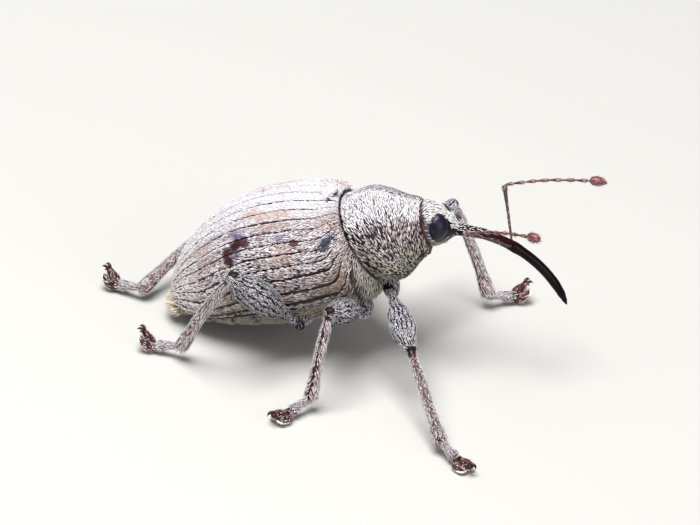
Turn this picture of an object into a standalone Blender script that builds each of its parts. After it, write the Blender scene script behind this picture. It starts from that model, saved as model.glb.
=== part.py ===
"""A hazelnut weevil, life size, standing still with one feeler raised and one laid back along its snout.

The body is modelled along its own axis, with X towards the head, Y to the animal's left and Z up, and hangs
from one empty that tips its head up. The legs run from hips on the body to six flat soles on the floor, Z = 0.
Sizes are in millimetres, and loft() turns them to metres.
"""

import math

import bmesh
import bpy
from mathutils import Matrix, Vector

MM = 0.001
LEFT, RIGHT = 1, -1
SIDES = {"left": LEFT, "right": RIGHT}

# Gap that two neighbouring pieces keep, small because the real legs are under half a millimetre thick
GAP = 0.12

# Stance of the body: the empty that carries it
BODY_PITCH = 20
BODY_PLACE = (0.2, 0.66, 3.45)

# Hind body, shared by the wing cases and by the underside beneath them
HIND_LENGTH = 5.5
HIND_HALF_WIDTH = 2.02
WIDEST_AT = 0.2
BASE_WIDTH_SHARE = 0.9
CREST_BASE, CREST_PEAK, CREST_AT = 1.32, 1.62, 0.3
APEX_HEIGHT = -1.12
KEEL_BASE, KEEL_LOWEST, KEEL_AT = -1.75, -2.2, 0.35
BASE_BEVEL = 0.22
SEAM_SLANT = 0.27
MARGIN_ANGLE = 117
STRIAE = 10
STRIA_DEPTH = 0.05

# Fore body
PROTHORAX_LENGTH = 2.2
PROTHORAX_HALF_WIDTH = 1.32
COLLAR_HALF_WIDTH = 0.8
HEAD_PLACE = (2.36, 0, -0.1)
HEAD_RADIUS = 0.64
HEAD_DROOP = 24
EYE_PLACE = (0.27, 0.4, 0.2)
EYE_RADII = (0.26, 0.2, 0.34)

# Snout, a curve that bends down in the body's middle plane
SNOUT_LENGTH = 4.0
SNOUT_START_ANGLE, SNOUT_END_ANGLE = -16, -84
SNOUT_RADIUS = 0.23

# Feelers: elbowed, set nearly half way along the snout
FEELER_AT = 0.42
SCAPE_LENGTH, FUNICLE_LENGTH, CLUB_LENGTH = 1.4, 1.95, 0.54
FEELER_RADIUS = 0.22
CLUB_RADIUS = 0.28
FUNICLE_BEADS = 7

# Legs: hip on the body, thigh length, heading and lift, shin length and heading, foot heading
THIGH_RADIUS, HIND_THIGH_RADIUS, KNEE_RADIUS = 0.41, 0.46, 0.22
SHIN_RADIUS, SHIN_END_RADIUS = 0.235, 0.28
FOOT_RADIUS = 0.235
ANKLE_HEIGHT = 0.37
LEGS = {
    "front_right": ((0.83, -0.6, -1.5), 2.68, -67, -11, 2.97, -60, -42),
    "front_left": ((0.83, 0.6, -1.5), 2.89, 64, 16, 3.02, -4, 37),
    "middle_right": ((0.1, -1.0, -1.86), 2.54, -108, 23, 2.50, -105, -130),
    "middle_left": ((0.1, 1.0, -1.86), 2.62, 118, 15, 2.62, 125, 150),
    "hind_right": ((-1.68, -1.5, -1.79), 3.27, -138, 41, 3.37, 146, 168),
    "hind_left": ((-1.82, 1.5, -1.79), 3.4, 150, 3, 3.25, -122, 155),
}

# How steeply each foot holds up its pad and claws, in degrees
TOE_LIFTS = {
    "front_right": 0,
    "front_left": 35,
    "middle_right": 5,
    "middle_left": 5,
    "hind_right": 40,
    "hind_left": 40,
}
TOE_AT = (0.5, -0.2)

# Hip joints: how far each lies inward, and its half sizes along, across and down
COXAE = {
    "front": ((0.02, 0.22, -0.1), (0.34, 0.33, 0.55)),
    "middle": ((-0.06, 0.12, 0.04), (0.32, 0.34, 0.34)),
    "hind": ((0.05, 0.38, 0.14), (0.36, 0.5, 0.3)),
}


def clear_scene():
    for old in list(bpy.data.objects):
        bpy.data.objects.remove(old, do_unlink=True)


def finish(name, colour, roughness, metallic=0.0):
    """A Principled material, or the one already made under that name."""
    made = bpy.data.materials.get(name) or bpy.data.materials.new(name)
    made.use_nodes = True
    shader = made.node_tree.nodes["Principled BSDF"]
    shader.inputs["Base Color"].default_value = (*colour, 1)
    shader.inputs["Roughness"].default_value = roughness
    shader.inputs["Metallic"].default_value = metallic
    return made


def scaled_cuticle():
    return finish("scaled_cuticle", (0.50, 0.44, 0.37), 0.8)


def leg_cuticle():
    return finish("leg_cuticle", (0.47, 0.37, 0.34), 0.75)


def bare_cuticle():
    return finish("bare_cuticle", (0.035, 0.012, 0.012), 0.25)


def feeler_cuticle():
    return finish("feeler_cuticle", (0.30, 0.13, 0.11), 0.5)


def eye_cuticle():
    return finish("eye_cuticle", (0.012, 0.012, 0.02), 0.3)


def add_object(name, mesh, material, parent=None):
    made = bpy.data.objects.new(name, mesh)
    bpy.context.scene.collection.objects.link(made)
    if material:
        mesh.materials.append(material)
    made.parent = parent
    return made


def loft(name, rings, material=None, parent=None):
    """A closed solid through rings of points in millimetres. Each end is closed by a fan to its middle."""
    bm = bmesh.new()
    rows = [[bm.verts.new(Vector(point) * MM) for point in ring] for ring in rings]
    for near, far in zip(rows, rows[1:]):
        for i in range(max(len(near), len(far))):
            corners = (near[i % len(near)], near[(i + 1) % len(near)], far[(i + 1) % len(far)], far[i % len(far)])
            bm.faces.new(dict.fromkeys(corners))
    for row in (rows[0], rows[-1]):
        if len(row) == 1:
            continue
        middle = bm.verts.new(sum((vert.co for vert in row), Vector()) / len(row))
        for i, vert in enumerate(row):
            bm.faces.new((vert, row[(i + 1) % len(row)], middle))
    bmesh.ops.recalc_face_normals(bm, faces=bm.faces)
    mesh = bpy.data.meshes.new(name)
    bm.to_mesh(mesh)
    bm.free()
    mesh.shade_smooth()
    mesh.set_sharp_from_angle(angle=math.radians(40))
    return add_object(name, mesh, material, parent)


def ease(table, share):
    """A smooth value at a share from 0 to 1 through (share, value) pairs."""
    for (low, start), (high, end) in zip(table, table[1:]):
        if share <= high:
            part = max(0.0, (share - low) / (high - low))
            return start + (end - start) * part * part * (3 - 2 * part)
    return table[-1][1]


def falloff(share, rise, blunt):
    """From 1 at share 0 to 0 at share 1, along a superellipse."""
    return max(0.0, 1 - abs(share) ** rise) ** (1 / blunt)


def steps(count, crowd=1.0):
    """Shares from 0 to 1, crowded towards 1 where crowd is over 1."""
    return [1 - (1 - i / count) ** crowd for i in range(count + 1)]


def oval(half_width, top, waist, bottom, angle, power=2.2):
    """Sideways and upward place on an egg-shaped section, at an angle in degrees from its top."""
    turn = math.radians(angle)
    across = half_width * math.copysign(abs(math.sin(turn)) ** (2 / power), math.sin(turn))
    lift = abs(math.cos(turn)) ** (2 / power)
    up = waist + (top - waist) * lift if math.cos(turn) >= 0 else waist - (waist - bottom) * lift
    return across, up


def tube(name, path, radii, sides, material=None, parent=None, flat=1.0, up=(0, 0, 1)):
    """A closed tube along a path in millimetres. radii holds one for each point, and flat thins it sideways."""
    points = [Vector(p) for p in path]
    rings = []
    for i, (point, radius) in enumerate(zip(points, radii)):
        ahead = (points[min(i + 1, len(points) - 1)] - points[max(i - 1, 0)]).normalized()
        side = Vector(up).cross(ahead).normalized()
        rise = ahead.cross(side)
        if radius == 0:
            rings.append([point])
            continue
        turns = [2 * math.pi * k / sides for k in range(sides)]
        rings.append([point + side * (math.cos(a) * radius * flat) + rise * (math.sin(a) * radius) for a in turns])
    return loft(name, rings, material, parent)


def ellipsoid(name, radii, centre=(0, 0, 0), columns=16, rows=10, material=None, parent=None):
    rings = []
    for i in range(rows + 1):
        polar = math.pi * i / rows
        if i in (0, rows):
            rings.append([Vector(centre) + Vector((0, 0, radii[2] * math.cos(polar)))])
            continue
        turns = [2 * math.pi * k / columns for k in range(columns)]
        rings.append([Vector(centre) + Vector((
            radii[0] * math.sin(polar) * math.cos(a),
            radii[1] * math.sin(polar) * math.sin(a),
            radii[2] * math.cos(polar),
        )) for a in turns])
    return loft(name, rings, material, parent)


def place(obj, origin, ahead, up=(0, 0, 1)):
    """Moves an object so that its X runs along ahead and its Z leans towards up."""
    forward = Vector(ahead).normalized()
    side = Vector(up).cross(forward).normalized()
    turn = Matrix((forward, side, forward.cross(side))).transposed()
    obj.matrix_world = Matrix.Translation(Vector(origin) * MM) @ turn.to_4x4()


def aim(heading, lift):
    """Unit direction at a heading in degrees from straight ahead, left being positive, and a lift."""
    level = math.cos(math.radians(lift))
    turn = math.radians(heading)
    return Vector((level * math.cos(turn), level * math.sin(turn), math.sin(math.radians(lift))))


def as_cutter(obj):
    obj.hide_render = True
    obj.display_type = "WIRE"
    return obj


def apply_boolean(obj, operation, operands):
    """Joins the operands to an object, or cuts them from it, and applies it."""
    group = bpy.data.collections.new(obj.name + "_" + operation.lower())
    bpy.context.scene.collection.children.link(group)
    for operand in operands:
        group.objects.link(operand)
    modifier = obj.modifiers.new(operation.lower(), "BOOLEAN")
    modifier.operation = operation
    modifier.operand_type = "COLLECTION"
    modifier.collection = group
    bpy.context.view_layer.update()
    evaluated = obj.evaluated_get(bpy.context.evaluated_depsgraph_get())
    joined = bpy.data.meshes.new_from_object(evaluated)
    obj.modifiers.clear()
    obj.data = joined
    bpy.data.collections.remove(group)


def keep_largest(obj):
    """Leaves an object only its largest closed surface."""
    bm = bmesh.new()
    bm.from_mesh(obj.data)
    loose, shells = set(bm.faces), []
    while loose:
        shell, edge = set(), [loose.pop()]
        while edge:
            face = edge.pop()
            shell.add(face)
            for near in {f for e in face.edges for f in e.link_faces} & loose:
                loose.discard(near)
                edge.append(near)
        shells.append(shell)
    shells.sort(key=lambda shell: sum(face.calc_area() for face in shell))
    scraps = [face for shell in shells[:-1] for face in shell]
    bmesh.ops.delete(bm, geom=scraps, context="FACES")
    bm.to_mesh(obj.data)
    bm.free()


def fuse(obj, pieces):
    apply_boolean(obj, "UNION", pieces)
    for piece in pieces:
        bpy.data.objects.remove(piece, do_unlink=True)


def cut(obj, cutters):
    apply_boolean(obj, "DIFFERENCE", cutters)
    keep_largest(obj)


def seam_x(height):
    """Where the wing cases' base meets the prothorax: further forward low on the side than on the back."""
    return SEAM_SLANT * (CREST_BASE - height)


def hind_section(share):
    """Half width, crest, waist and keel of the hind body at a share of its length."""
    if share < WIDEST_AT:
        shoulder = falloff(1 - share / WIDEST_AT, 3.2, 1.3)
        width = BASE_WIDTH_SHARE + (1 - BASE_WIDTH_SHARE) * shoulder
    else:
        width = falloff((share - WIDEST_AT) / (1 - WIDEST_AT), 2.1, 1.65)
    crest = CREST_PEAK
    if share < CREST_AT:
        crest = CREST_BASE + (CREST_PEAK - CREST_BASE) * math.sin(math.pi / 2 * share / CREST_AT)
    else:
        back = (share - CREST_AT) / (1 - CREST_AT)
        crest = APEX_HEIGHT + (CREST_PEAK - APEX_HEIGHT) * falloff(back, 2.3, 1.55)
    if share < KEEL_AT:
        keel = KEEL_BASE + (KEEL_LOWEST - KEEL_BASE) * math.sin(math.pi / 2 * share / KEEL_AT)
    else:
        keel = APEX_HEIGHT + (KEEL_LOWEST - APEX_HEIGHT) * falloff((share - KEEL_AT) / (1 - KEEL_AT), 1.8, 1.6)
    waist = ease([(0, -0.1), (0.4, -0.2), (1, APEX_HEIGHT)], share)
    return HIND_HALF_WIDTH * width, crest, waist, keel


def hind_point(share, angle, side, grow=0.0, sink=0.0):
    """A place on the hind body's skin, in the body's frame."""
    half_width, crest, waist, keel = hind_section(share)
    y, z = oval(half_width + grow - sink, crest + grow - sink, waist, keel - grow + sink, angle)
    base = seam_x(z) * (1 - share) ** 3
    return Vector((base - (HIND_LENGTH + grow) * share, side * y, z))


def margin_angle(share):
    """Where the wing cases' outer edge lies on the section, higher towards the tip of the hind body."""
    return MARGIN_ANGLE - 20 * ease([(0, 0), (0.75, 0), (1, 1)], share)


def wing_case(name, side, parent):
    """One wing case, solid from its domed skin down to the level of its lower edge."""
    columns = 3 * STRIAE + 2
    rings = []
    for share in [0, 0.012, 0.03] + steps(20, 1.5)[1:-1]:
        bevel = BASE_BEVEL * max(0.0, 1 - share / 0.05) ** 2
        edge = margin_angle(share)
        lower = hind_point(share, edge, side, sink=bevel)
        ring = []
        for k in range(columns + 1):
            groove = STRIA_DEPTH * (1 - share) ** 0.3 if k % 3 == 0 and 0 < k < columns else 0.0
            point = hind_point(share, edge * k / columns, side, sink=bevel + groove)
            point.y = side * max(abs(point.y), GAP / 4)
            ring.append(point)
        inner = lower.copy()
        inner.y = side * GAP / 4
        inner.x = (lower.x + ring[0].x) / 2
        ring += [lower.lerp(inner, 0.5), inner, inner.lerp(ring[0], 0.5)]
        rings.append(ring)
    tip = Vector((-HIND_LENGTH, side * GAP, APEX_HEIGHT + 0.02))
    return loft(name, rings + [[tip]], scaled_cuticle(), parent)


def underside(name, first, last, count, plates, parent):
    """A length of the underside beneath the wing cases, with a shallow groove between its plates."""
    rings = []
    for i in range(count + 1):
        share = first + (last - first) * i / count
        groove = 0.045 if plates and i % (count // plates) == 0 and 0 < i < count else 0.0
        edge = margin_angle(share)
        roof = hind_point(share, edge, LEFT).z - GAP
        angles = [edge + 7 + (173 - edge) * k / 7 for k in range(8)]
        flank = [hind_point(share, angle, LEFT, sink=0.04 + groove) for angle in angles]
        flank = [Vector((p.x, p.y, min(p.z, roof - 0.01 * (k + 1)))) for k, p in enumerate(flank)]
        flank.insert(0, Vector((flank[0].x, flank[0].y - 0.1, roof)))
        rings.append(flank + [Vector((p.x, -p.y, p.z)) for p in reversed(flank[:-1])])
    return loft(name, rings, scaled_cuticle(), parent)


def prothorax_rings(grow=0.0):
    """The prothorax, from its base at the wing cases to the collar round the head."""
    rings = []
    for share in (0, 0.04, 0.15, 0.3, 0.45, 0.6, 0.75, 0.88, 0.97, 1):
        half_width = ease([(0, 0.93), (0.3, 1.0), (1, COLLAR_HALF_WIDTH / PROTHORAX_HALF_WIDTH)], share)
        top = ease([(0, 1.12), (0.35, 1.22), (1, 0.7)], share)
        bottom = ease([(0, -1.42), (0.35, -1.5), (1, -0.93)], share)
        rim = 0.06 if share in (0, 1) else 0.0
        ring = []
        for k in range(24):
            angle = 360 * k / 24
            y, z = oval(PROTHORAX_HALF_WIDTH * half_width + grow - rim, top + grow - rim, -0.1,
                        bottom - grow + rim, angle)
            base = seam_x(z) + GAP - grow
            ring.append(Vector((base + (PROTHORAX_LENGTH + grow - base) * share, y, z)))
        rings.append(ring)
    return rings


def in_body(point):
    """A place in the body's frame, in the floor's frame and in millimetres."""
    return Matrix.Rotation(math.radians(-BODY_PITCH), 3, "Y") @ Vector(point) + Vector(BODY_PLACE)


def along_body(direction):
    return Matrix.Rotation(math.radians(-BODY_PITCH), 3, "Y") @ Vector(direction)


def snout_path(count):
    """Points along the snout's middle line and its direction at each, in the body's frame."""
    point = Vector(HEAD_PLACE) + aim(0, -HEAD_DROOP) * (HEAD_RADIUS - 0.06 + GAP)
    path = [(point.copy(), aim(0, SNOUT_START_ANGLE))]
    for i in range(count):
        lift = SNOUT_START_ANGLE + (SNOUT_END_ANGLE - SNOUT_START_ANGLE) * (i + 0.5) / count
        point = point + aim(0, lift) * SNOUT_LENGTH / count
        path.append((point.copy(), aim(0, lift)))
    return path


def snout(parent):
    """The snout, ending in a pair of small jaws."""
    path = snout_path(22)
    waist = [(0, 1.15), (0.2, 1.0), (0.5, 0.98), (0.8, 1.0), (0.93, 0.9), (1, 0.45)]
    radii = [SNOUT_RADIUS * ease(waist, i / (len(path) - 1)) for i in range(len(path))]
    made = tube("rostrum", [p for p, _ in path], radii, 12, bare_cuticle())
    tip, ahead = path[-1]
    jaws = []
    for side in (LEFT, RIGHT):
        across = Vector((0, side * 0.05, 0))
        stem = [tip - ahead * 0.14 + across, tip + ahead * 0.05 + across * 1.3, tip + ahead * 0.14 + across * 0.9]
        jaws.append(tube("jaw", stem, [0.06, 0.055, 0.02], 8, up=(0, 1, 0)))
    fuse(made, jaws)
    made.parent = parent


def head(parent, collar_cutter):
    rings = []
    for share in (-0.72, -0.5, -0.28, -0.05, 0.18, 0.4, 0.58, 0.73, 0.84, 0.9):
        rings.append((HEAD_RADIUS * share, HEAD_RADIUS * math.sqrt(1 - share * share)))
    made = tube("head", [(x, 0, 0) for x, _ in rings], [r for _, r in rings], 20, scaled_cuticle())
    place(made, in_body(HEAD_PLACE), along_body(aim(0, -HEAD_DROOP)))
    sockets = []
    for word, side in SIDES.items():
        where = Vector((EYE_PLACE[0], side * EYE_PLACE[1], EYE_PLACE[2]))
        eye = ellipsoid("eye_" + word, EYE_RADII, where, 14, 10, eye_cuticle())
        socket = ellipsoid("socket_" + word, [r + GAP for r in EYE_RADII], where, 14, 10)
        for piece in (eye, socket):
            place(piece, in_body(HEAD_PLACE), along_body(aim(0, -HEAD_DROOP)))
            attach(piece, parent)
        sockets.append(as_cutter(socket))
    attach(made, parent)
    cut(made, [collar_cutter] + sockets)
    return made


def attach(obj, parent):
    """Parents an object and leaves it where it is."""
    bpy.context.view_layer.update()
    place_now = obj.matrix_world.copy()
    obj.parent = parent
    obj.matrix_world = place_now


def standoff(before, after, radius, next_radius):
    """How far from a joint the next piece starts, so that its end face stays clear of the piece before it."""
    bend = before.angle(after)
    beside = (radius + GAP - next_radius * math.cos(bend)) / max(0.01, math.sin(bend))
    if math.cos(bend) < 0.05:
        return beside
    return min(beside, (GAP + next_radius * math.sin(bend)) / math.cos(bend))


def feeler(word, side, elbow, funicle_end):
    """An elbowed feeler: a long first joint, seven beads and a club, each in its own node."""
    spot, _ = snout_path(20)[round(20 * FEELER_AT)]
    root = in_body(spot + Vector((0, side * (SNOUT_RADIUS + GAP + FEELER_RADIUS), 0.05)))
    scape_aim = (in_body(elbow) - root).normalized()
    shares = steps(8)
    girth = [(0, 0.8), (0.1, 1.0), (0.8, 1.0), (1, 0.8)]
    radii = [FEELER_RADIUS * ease(girth, s) for s in shares]
    scape = tube("scape_" + word, [(SCAPE_LENGTH * s, 0, 0) for s in shares], radii, 10, feeler_cuticle())
    place(scape, root, scape_aim)
    elbow_at = root + scape_aim * SCAPE_LENGTH
    funicle_aim = (in_body(funicle_end) - elbow_at).normalized()
    start = elbow_at + funicle_aim * standoff(scape_aim, funicle_aim, FEELER_RADIUS, FEELER_RADIUS * 0.8)
    beads = 4 * FUNICLE_BEADS
    radii = [FEELER_RADIUS * (0.93 - 0.12 * math.cos(2 * math.pi * i / 4)) for i in range(beads + 1)]
    path = [(FUNICLE_LENGTH * i / beads, 0, 0.08 * math.sin(math.pi * i / beads)) for i in range(beads + 1)]
    funicle = tube("funicle_" + word, path, radii, 8, feeler_cuticle())
    place(funicle, start, funicle_aim)
    shares = steps(8)
    bulge = [(0, 0.65), (0.4, 1.0), (0.6, 1.0), (1, 0.3)]
    radii = [CLUB_RADIUS * ease(bulge, s) for s in shares]
    club = tube("club_" + word, [(CLUB_LENGTH * s, 0, -0.06 * s * s) for s in shares], radii, 10, feeler_cuticle())
    place(club, start + funicle_aim * (FUNICLE_LENGTH + GAP), funicle_aim)


def thigh(name, hip, ahead, length, cutters):
    """Hip joint, thigh and the tooth under it, fused, and parted from the body by a thin gap."""
    pair, side = name.split("_")[1:]
    shares = steps(11)
    thickest = HIND_THIGH_RADIUS if pair == "hind" else THIGH_RADIUS
    swell = [(0, 0.42), (0.12, 0.42), (0.5, 0.97), (0.62, 1), (0.9, 0.66), (1, KNEE_RADIUS / thickest)]
    radii = [thickest * ease(swell, s) for s in shares]
    made = tube(name, [(length * s, 0, 0) for s in shares], radii, 12, leg_cuticle(), flat=0.86)
    place(made, hip, ahead)
    tooth = tube(name + "_tooth", [(0, 0, -0.1), (0, 0, -0.4), (0.05, 0, -0.62)], [0.2, 0.15, 0.04], 6, up=(0, 1, 0))
    place(tooth, hip + ahead * length * 0.72, ahead)
    inward, half_sizes = COXAE[pair]
    coxa = ellipsoid(name + "_coxa", half_sizes, (0, 0, 0), 12, 8)
    place(coxa, hip + along_body((inward[0], -SIDES[side] * inward[1], inward[2])), along_body((1, 0, 0)))
    fuse(made, [tooth, coxa])
    cut(made, cutters)
    return made


def shin(name, knee, ankle, outward):
    """The shin: a slim rod, a little bowed, and wider at its lower end."""
    length = (ankle - knee).length
    shares = steps(10)
    girth = [(0, 0.17), (0.08, SHIN_RADIUS), (0.6, SHIN_RADIUS), (0.94, SHIN_END_RADIUS), (1, 0.2)]
    path = [(length * s, 0, 0.05 * math.sin(math.pi * s)) for s in shares]
    made = tube(name, path, [ease(girth, s) for s in shares], 10, leg_cuticle())
    place(made, knee, ankle - knee, outward)
    return made


def foot(name, heel, heading, floor_cutter):
    """The foot: two cone joints, a two-lobed pad and a raised claw joint with a pair of hooks, on a flat sole."""
    shares = steps(8)
    girth = [(0, 0.72), (0.4, 1.0), (0.5, 0.8), (0.85, 1.0), (1, 0.6)]
    radii = [FOOT_RADIUS * ease(girth, s) for s in shares]
    base = tube(name, [(0.68 * s, 0, -0.16 * s) for s in shares], radii, 10, leg_cuticle())
    place(base, heel, aim(heading, 0))
    pieces = []
    for side in (LEFT, RIGHT):
        lobe = ellipsoid(name + "_lobe", (0.25, 0.17, 0.15), (0.2, side * 0.15, -0.05), 10, 6)
        hook_path = [(0.5, side * 0.05, 0.2), (0.61, side * 0.11, 0.23), (0.69, side * 0.14, 0.18), (0.73, side * 0.15, 0.09)]
        hook = tube(name + "_hook", hook_path, [0.09, 0.09, 0.07, 0.03], 6)
        pieces += [lobe, hook]
    claw_path = [(0.1, 0, 0.0), (0.24, 0, 0.05), (0.38, 0, 0.12), (0.5, 0, 0.19), (0.58, 0, 0.21)]
    pieces.append(tube(name + "_claw", claw_path, [0.13, 0.14, 0.15, 0.16, 0.1], 8))
    toe_at = heel + aim(heading, 0) * TOE_AT[0] + Vector((0, 0, TOE_AT[1]))
    for piece in pieces:
        place(piece, toe_at, aim(heading, TOE_LIFTS[name.split("_", 1)[1]]))
    fuse(base, pieces)
    cut(base, [floor_cutter])
    return base


def legs(cutters, floor_cutter):
    for name, (hip, thigh_length, heading, lift, shin_length, shin_heading, foot_heading) in LEGS.items():
        hip_at = in_body(hip)
        ahead = aim(heading, lift)
        thigh("femur_" + name, hip_at, ahead, thigh_length, cutters)
        knee = hip_at + ahead * thigh_length
        drop = (knee.z - ANKLE_HEIGHT) / shin_length
        down = aim(shin_heading, -math.degrees(math.asin(drop)))
        ankle = knee + down * shin_length
        shin("tibia_" + name, knee + down * standoff(ahead, down, KNEE_RADIUS, 0.17), ankle, ahead)
        forward = aim(foot_heading, 0)
        heel = ankle + forward * standoff(down, forward, 0.24, FOOT_RADIUS * 0.72)
        foot("tarsus_" + name, heel, foot_heading, floor_cutter)


def box_cutter(name, low, high):
    corners = [(low[0], low[1]), (high[0], low[1]), (high[0], high[1]), (low[0], high[1])]
    return as_cutter(loft(name, [[(x, y, low[2]) for x, y in corners], [(x, y, high[2]) for x, y in corners]]))


def main():
    clear_scene()
    stance = bpy.data.objects.new("stance", None)
    bpy.context.scene.collection.objects.link(stance)
    stance.location = Vector(BODY_PLACE) * MM
    stance.rotation_euler = (0, math.radians(-BODY_PITCH), 0)
    bpy.context.view_layer.update()

    hind_rings = []
    for share in steps(16, 1.5)[:-1]:
        share = share * 0.99
        angles = [360 * k / 28 for k in range(28)]
        hind_rings.append([hind_point(share, min(a, 360 - a), LEFT if a <= 180 else RIGHT, grow=GAP) for a in angles])
    hind_cutter = as_cutter(loft("hind_cutter", hind_rings, parent=stance))
    prothorax_cutter = as_cutter(loft("prothorax_cutter", prothorax_rings(GAP), parent=stance))

    for word, side in SIDES.items():
        wing_case("elytron_" + word, side, stance)
    underside("pterothorax", 0.02, 0.4, 8, 0, stance)
    underside("abdomen", 0.4 + GAP / HIND_LENGTH, 0.965, 20, 5, stance)
    loft("prothorax", prothorax_rings(), scaled_cuticle(), stance)
    head(stance, prothorax_cutter)
    snout(stance)
    feeler("left", LEFT, (4.39, 0.95, 0.11), (6.79, 1.1, -0.15))
    feeler("right", RIGHT, (3.32, -0.95, 0.03), (5.354, -2.084, 0.11))
    legs([hind_cutter, prothorax_cutter], box_cutter("floor_cutter", (-20, -20, -2), (20, 20, 0)))
    for used in [obj for obj in bpy.data.objects if obj.hide_render]:
        bpy.data.objects.remove(used, do_unlink=True)


main()
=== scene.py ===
import math

import bpy
import numpy as np
from mathutils import Matrix, Vector
from mathutils.kdtree import KDTree


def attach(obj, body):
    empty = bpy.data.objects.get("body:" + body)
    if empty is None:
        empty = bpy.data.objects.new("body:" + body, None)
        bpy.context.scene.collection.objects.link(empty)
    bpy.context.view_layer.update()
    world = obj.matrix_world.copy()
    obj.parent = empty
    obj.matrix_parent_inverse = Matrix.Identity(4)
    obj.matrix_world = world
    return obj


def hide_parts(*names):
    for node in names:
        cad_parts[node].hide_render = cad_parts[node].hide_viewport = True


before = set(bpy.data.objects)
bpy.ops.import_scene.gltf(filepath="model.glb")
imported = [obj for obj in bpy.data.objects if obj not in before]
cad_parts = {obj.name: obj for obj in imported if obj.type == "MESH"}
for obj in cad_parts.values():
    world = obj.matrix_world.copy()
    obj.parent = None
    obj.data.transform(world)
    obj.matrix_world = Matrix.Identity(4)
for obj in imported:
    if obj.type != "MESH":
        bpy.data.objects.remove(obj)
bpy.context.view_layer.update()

# Wing cases. The real ones are two hard, domed fore wings of dark chitin that lock together along the back,
# each with ten grooved lines of small pits. Each is a closed shell here, wrapped from a flat sheet.
# Lengths are in millimetres, shares run from base to tip, and angles are in degrees from the back.

MM = 0.001
TAU = 2 * math.pi
SIDES = {"left": 1, "right": -1}
BODY_TURN = np.array(Matrix.Rotation(math.radians(-20), 3, "Y"))
BODY_PLACE = np.array((0.2, 0.66, 3.45))
COAT_DEPTH = 0.03
HIND_LENGTH, HIND_HALF_WIDTH = 5.5, 2.02
WIDEST_AT, BASE_WIDTH_SHARE = 0.2, 0.9
CREST_BASE, CREST_PEAK, CREST_AT = 1.32, 1.62, 0.3
APEX_HEIGHT = -1.12
KEEL_BASE, KEEL_LOWEST, KEEL_AT = -1.75, -2.2, 0.35
SEAM_SLANT, SEAM_HALF_GAP = 0.27, 0.006
MARGIN_ANGLE = 117
SHOULDER_LENGTH, SHOULDER_DROP, SHOULDER_CUT = 0.06, (0.15, 0.47), 34
OUTER = 0.96
STRIAE, ROWS = 10, 32 / 3
STRIA_DEPTH, STRIA_HALF_WIDTH, STRIA_WOBBLE = 0.045, 0.13, 0.075
PITS_ALONG, SHALLOWEST_PIT = 30, 0.44
RIM_SHARES = [0.0002, 0.0006, 0.0014, 0.003, 0.006, 0.01, 0.016, 0.024, 0.032, 0.045]


def in_body(points):
    """Places in the body's own frame, X towards the head, as places over the floor, in millimetres."""
    return np.asarray(points) @ BODY_TURN.T + BODY_PLACE


def along_body(direction):
    return Vector(np.asarray(direction) @ BODY_TURN.T)


def aim(heading, lift):
    """Unit direction at a heading in degrees from straight ahead, left being positive, and a lift."""
    level = math.cos(math.radians(lift))
    turn = math.radians(heading)
    return Vector((level * math.cos(turn), level * math.sin(turn), math.sin(math.radians(lift))))


def ease(table, share):
    """A smooth value at shares from 0 to 1 through (share, value) pairs."""
    at, value = np.array(table, float).T
    k = np.clip(np.searchsorted(at, share, side="right") - 1, 0, len(at) - 2)
    part = np.clip((share - at[k]) / (at[k + 1] - at[k]), 0, 1)
    return value[k] + (value[k + 1] - value[k]) * part * part * (3 - 2 * part)


def falloff(share, rise, blunt):
    """From 1 at share 0 to 0 at share 1, along a superellipse."""
    return np.maximum(0, 1 - np.abs(share) ** rise) ** (1 / blunt)


def oval(half_width, top, waist, bottom, angle, power=2.2):
    """Sideways and upward place on an egg-shaped section, at an angle in degrees from its top."""
    turn = np.radians(angle)
    across = half_width * np.sign(np.sin(turn)) * np.abs(np.sin(turn)) ** (2 / power)
    lift = np.abs(np.cos(turn)) ** (2 / power)
    return across, np.where(np.cos(turn) >= 0, waist + (top - waist) * lift, waist - (waist - bottom) * lift)


def seam_x(height):
    return SEAM_SLANT * (CREST_BASE - height)


def hind_places(share, angle, side, sink=0.0):
    """Places on the hind body's skin, in the body's frame, by share of its length and angle from the back."""
    before = BASE_WIDTH_SHARE + (1 - BASE_WIDTH_SHARE) * falloff(1 - share / WIDEST_AT, 3.2, 1.3)
    behind = falloff(np.clip((share - WIDEST_AT) / (1 - WIDEST_AT), 0, 1), 2.1, 1.65)
    half_width = HIND_HALF_WIDTH * np.where(share < WIDEST_AT, before, behind)
    rise = CREST_BASE + (CREST_PEAK - CREST_BASE) * np.sin(math.pi / 2 * share / CREST_AT)
    fall = falloff(np.clip((share - CREST_AT) / (1 - CREST_AT), 0, 1), 2.3, 1.55)
    crest = np.where(share < CREST_AT, rise, APEX_HEIGHT + (CREST_PEAK - APEX_HEIGHT) * fall)
    drop = KEEL_BASE + (KEEL_LOWEST - KEEL_BASE) * np.sin(math.pi / 2 * share / KEEL_AT)
    fall = falloff(np.clip((share - KEEL_AT) / (1 - KEEL_AT), 0, 1), 1.8, 1.6)
    keel = np.where(share < KEEL_AT, drop, APEX_HEIGHT + (KEEL_LOWEST - APEX_HEIGHT) * fall)
    waist = ease([(0, -0.1), (0.4, -0.2), (1, APEX_HEIGHT)], share)
    y, z = oval(half_width - sink, crest - sink, waist, keel + sink, angle)
    x = seam_x(z) * (1 - share) ** 3 - (HIND_LENGTH - sink) * share
    return np.stack((x, side * y, z), 1)


def margin_angle(share):
    """The angle of the wing case's lower edge, which rises at the tip and at the shoulder."""
    shoulder = np.maximum(0, 1 - share / 0.13) ** 2
    return MARGIN_ANGLE - 20 * ease([(0, 0), (0.75, 0), (1, 1)], share) - SHOULDER_CUT * shoulder


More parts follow.
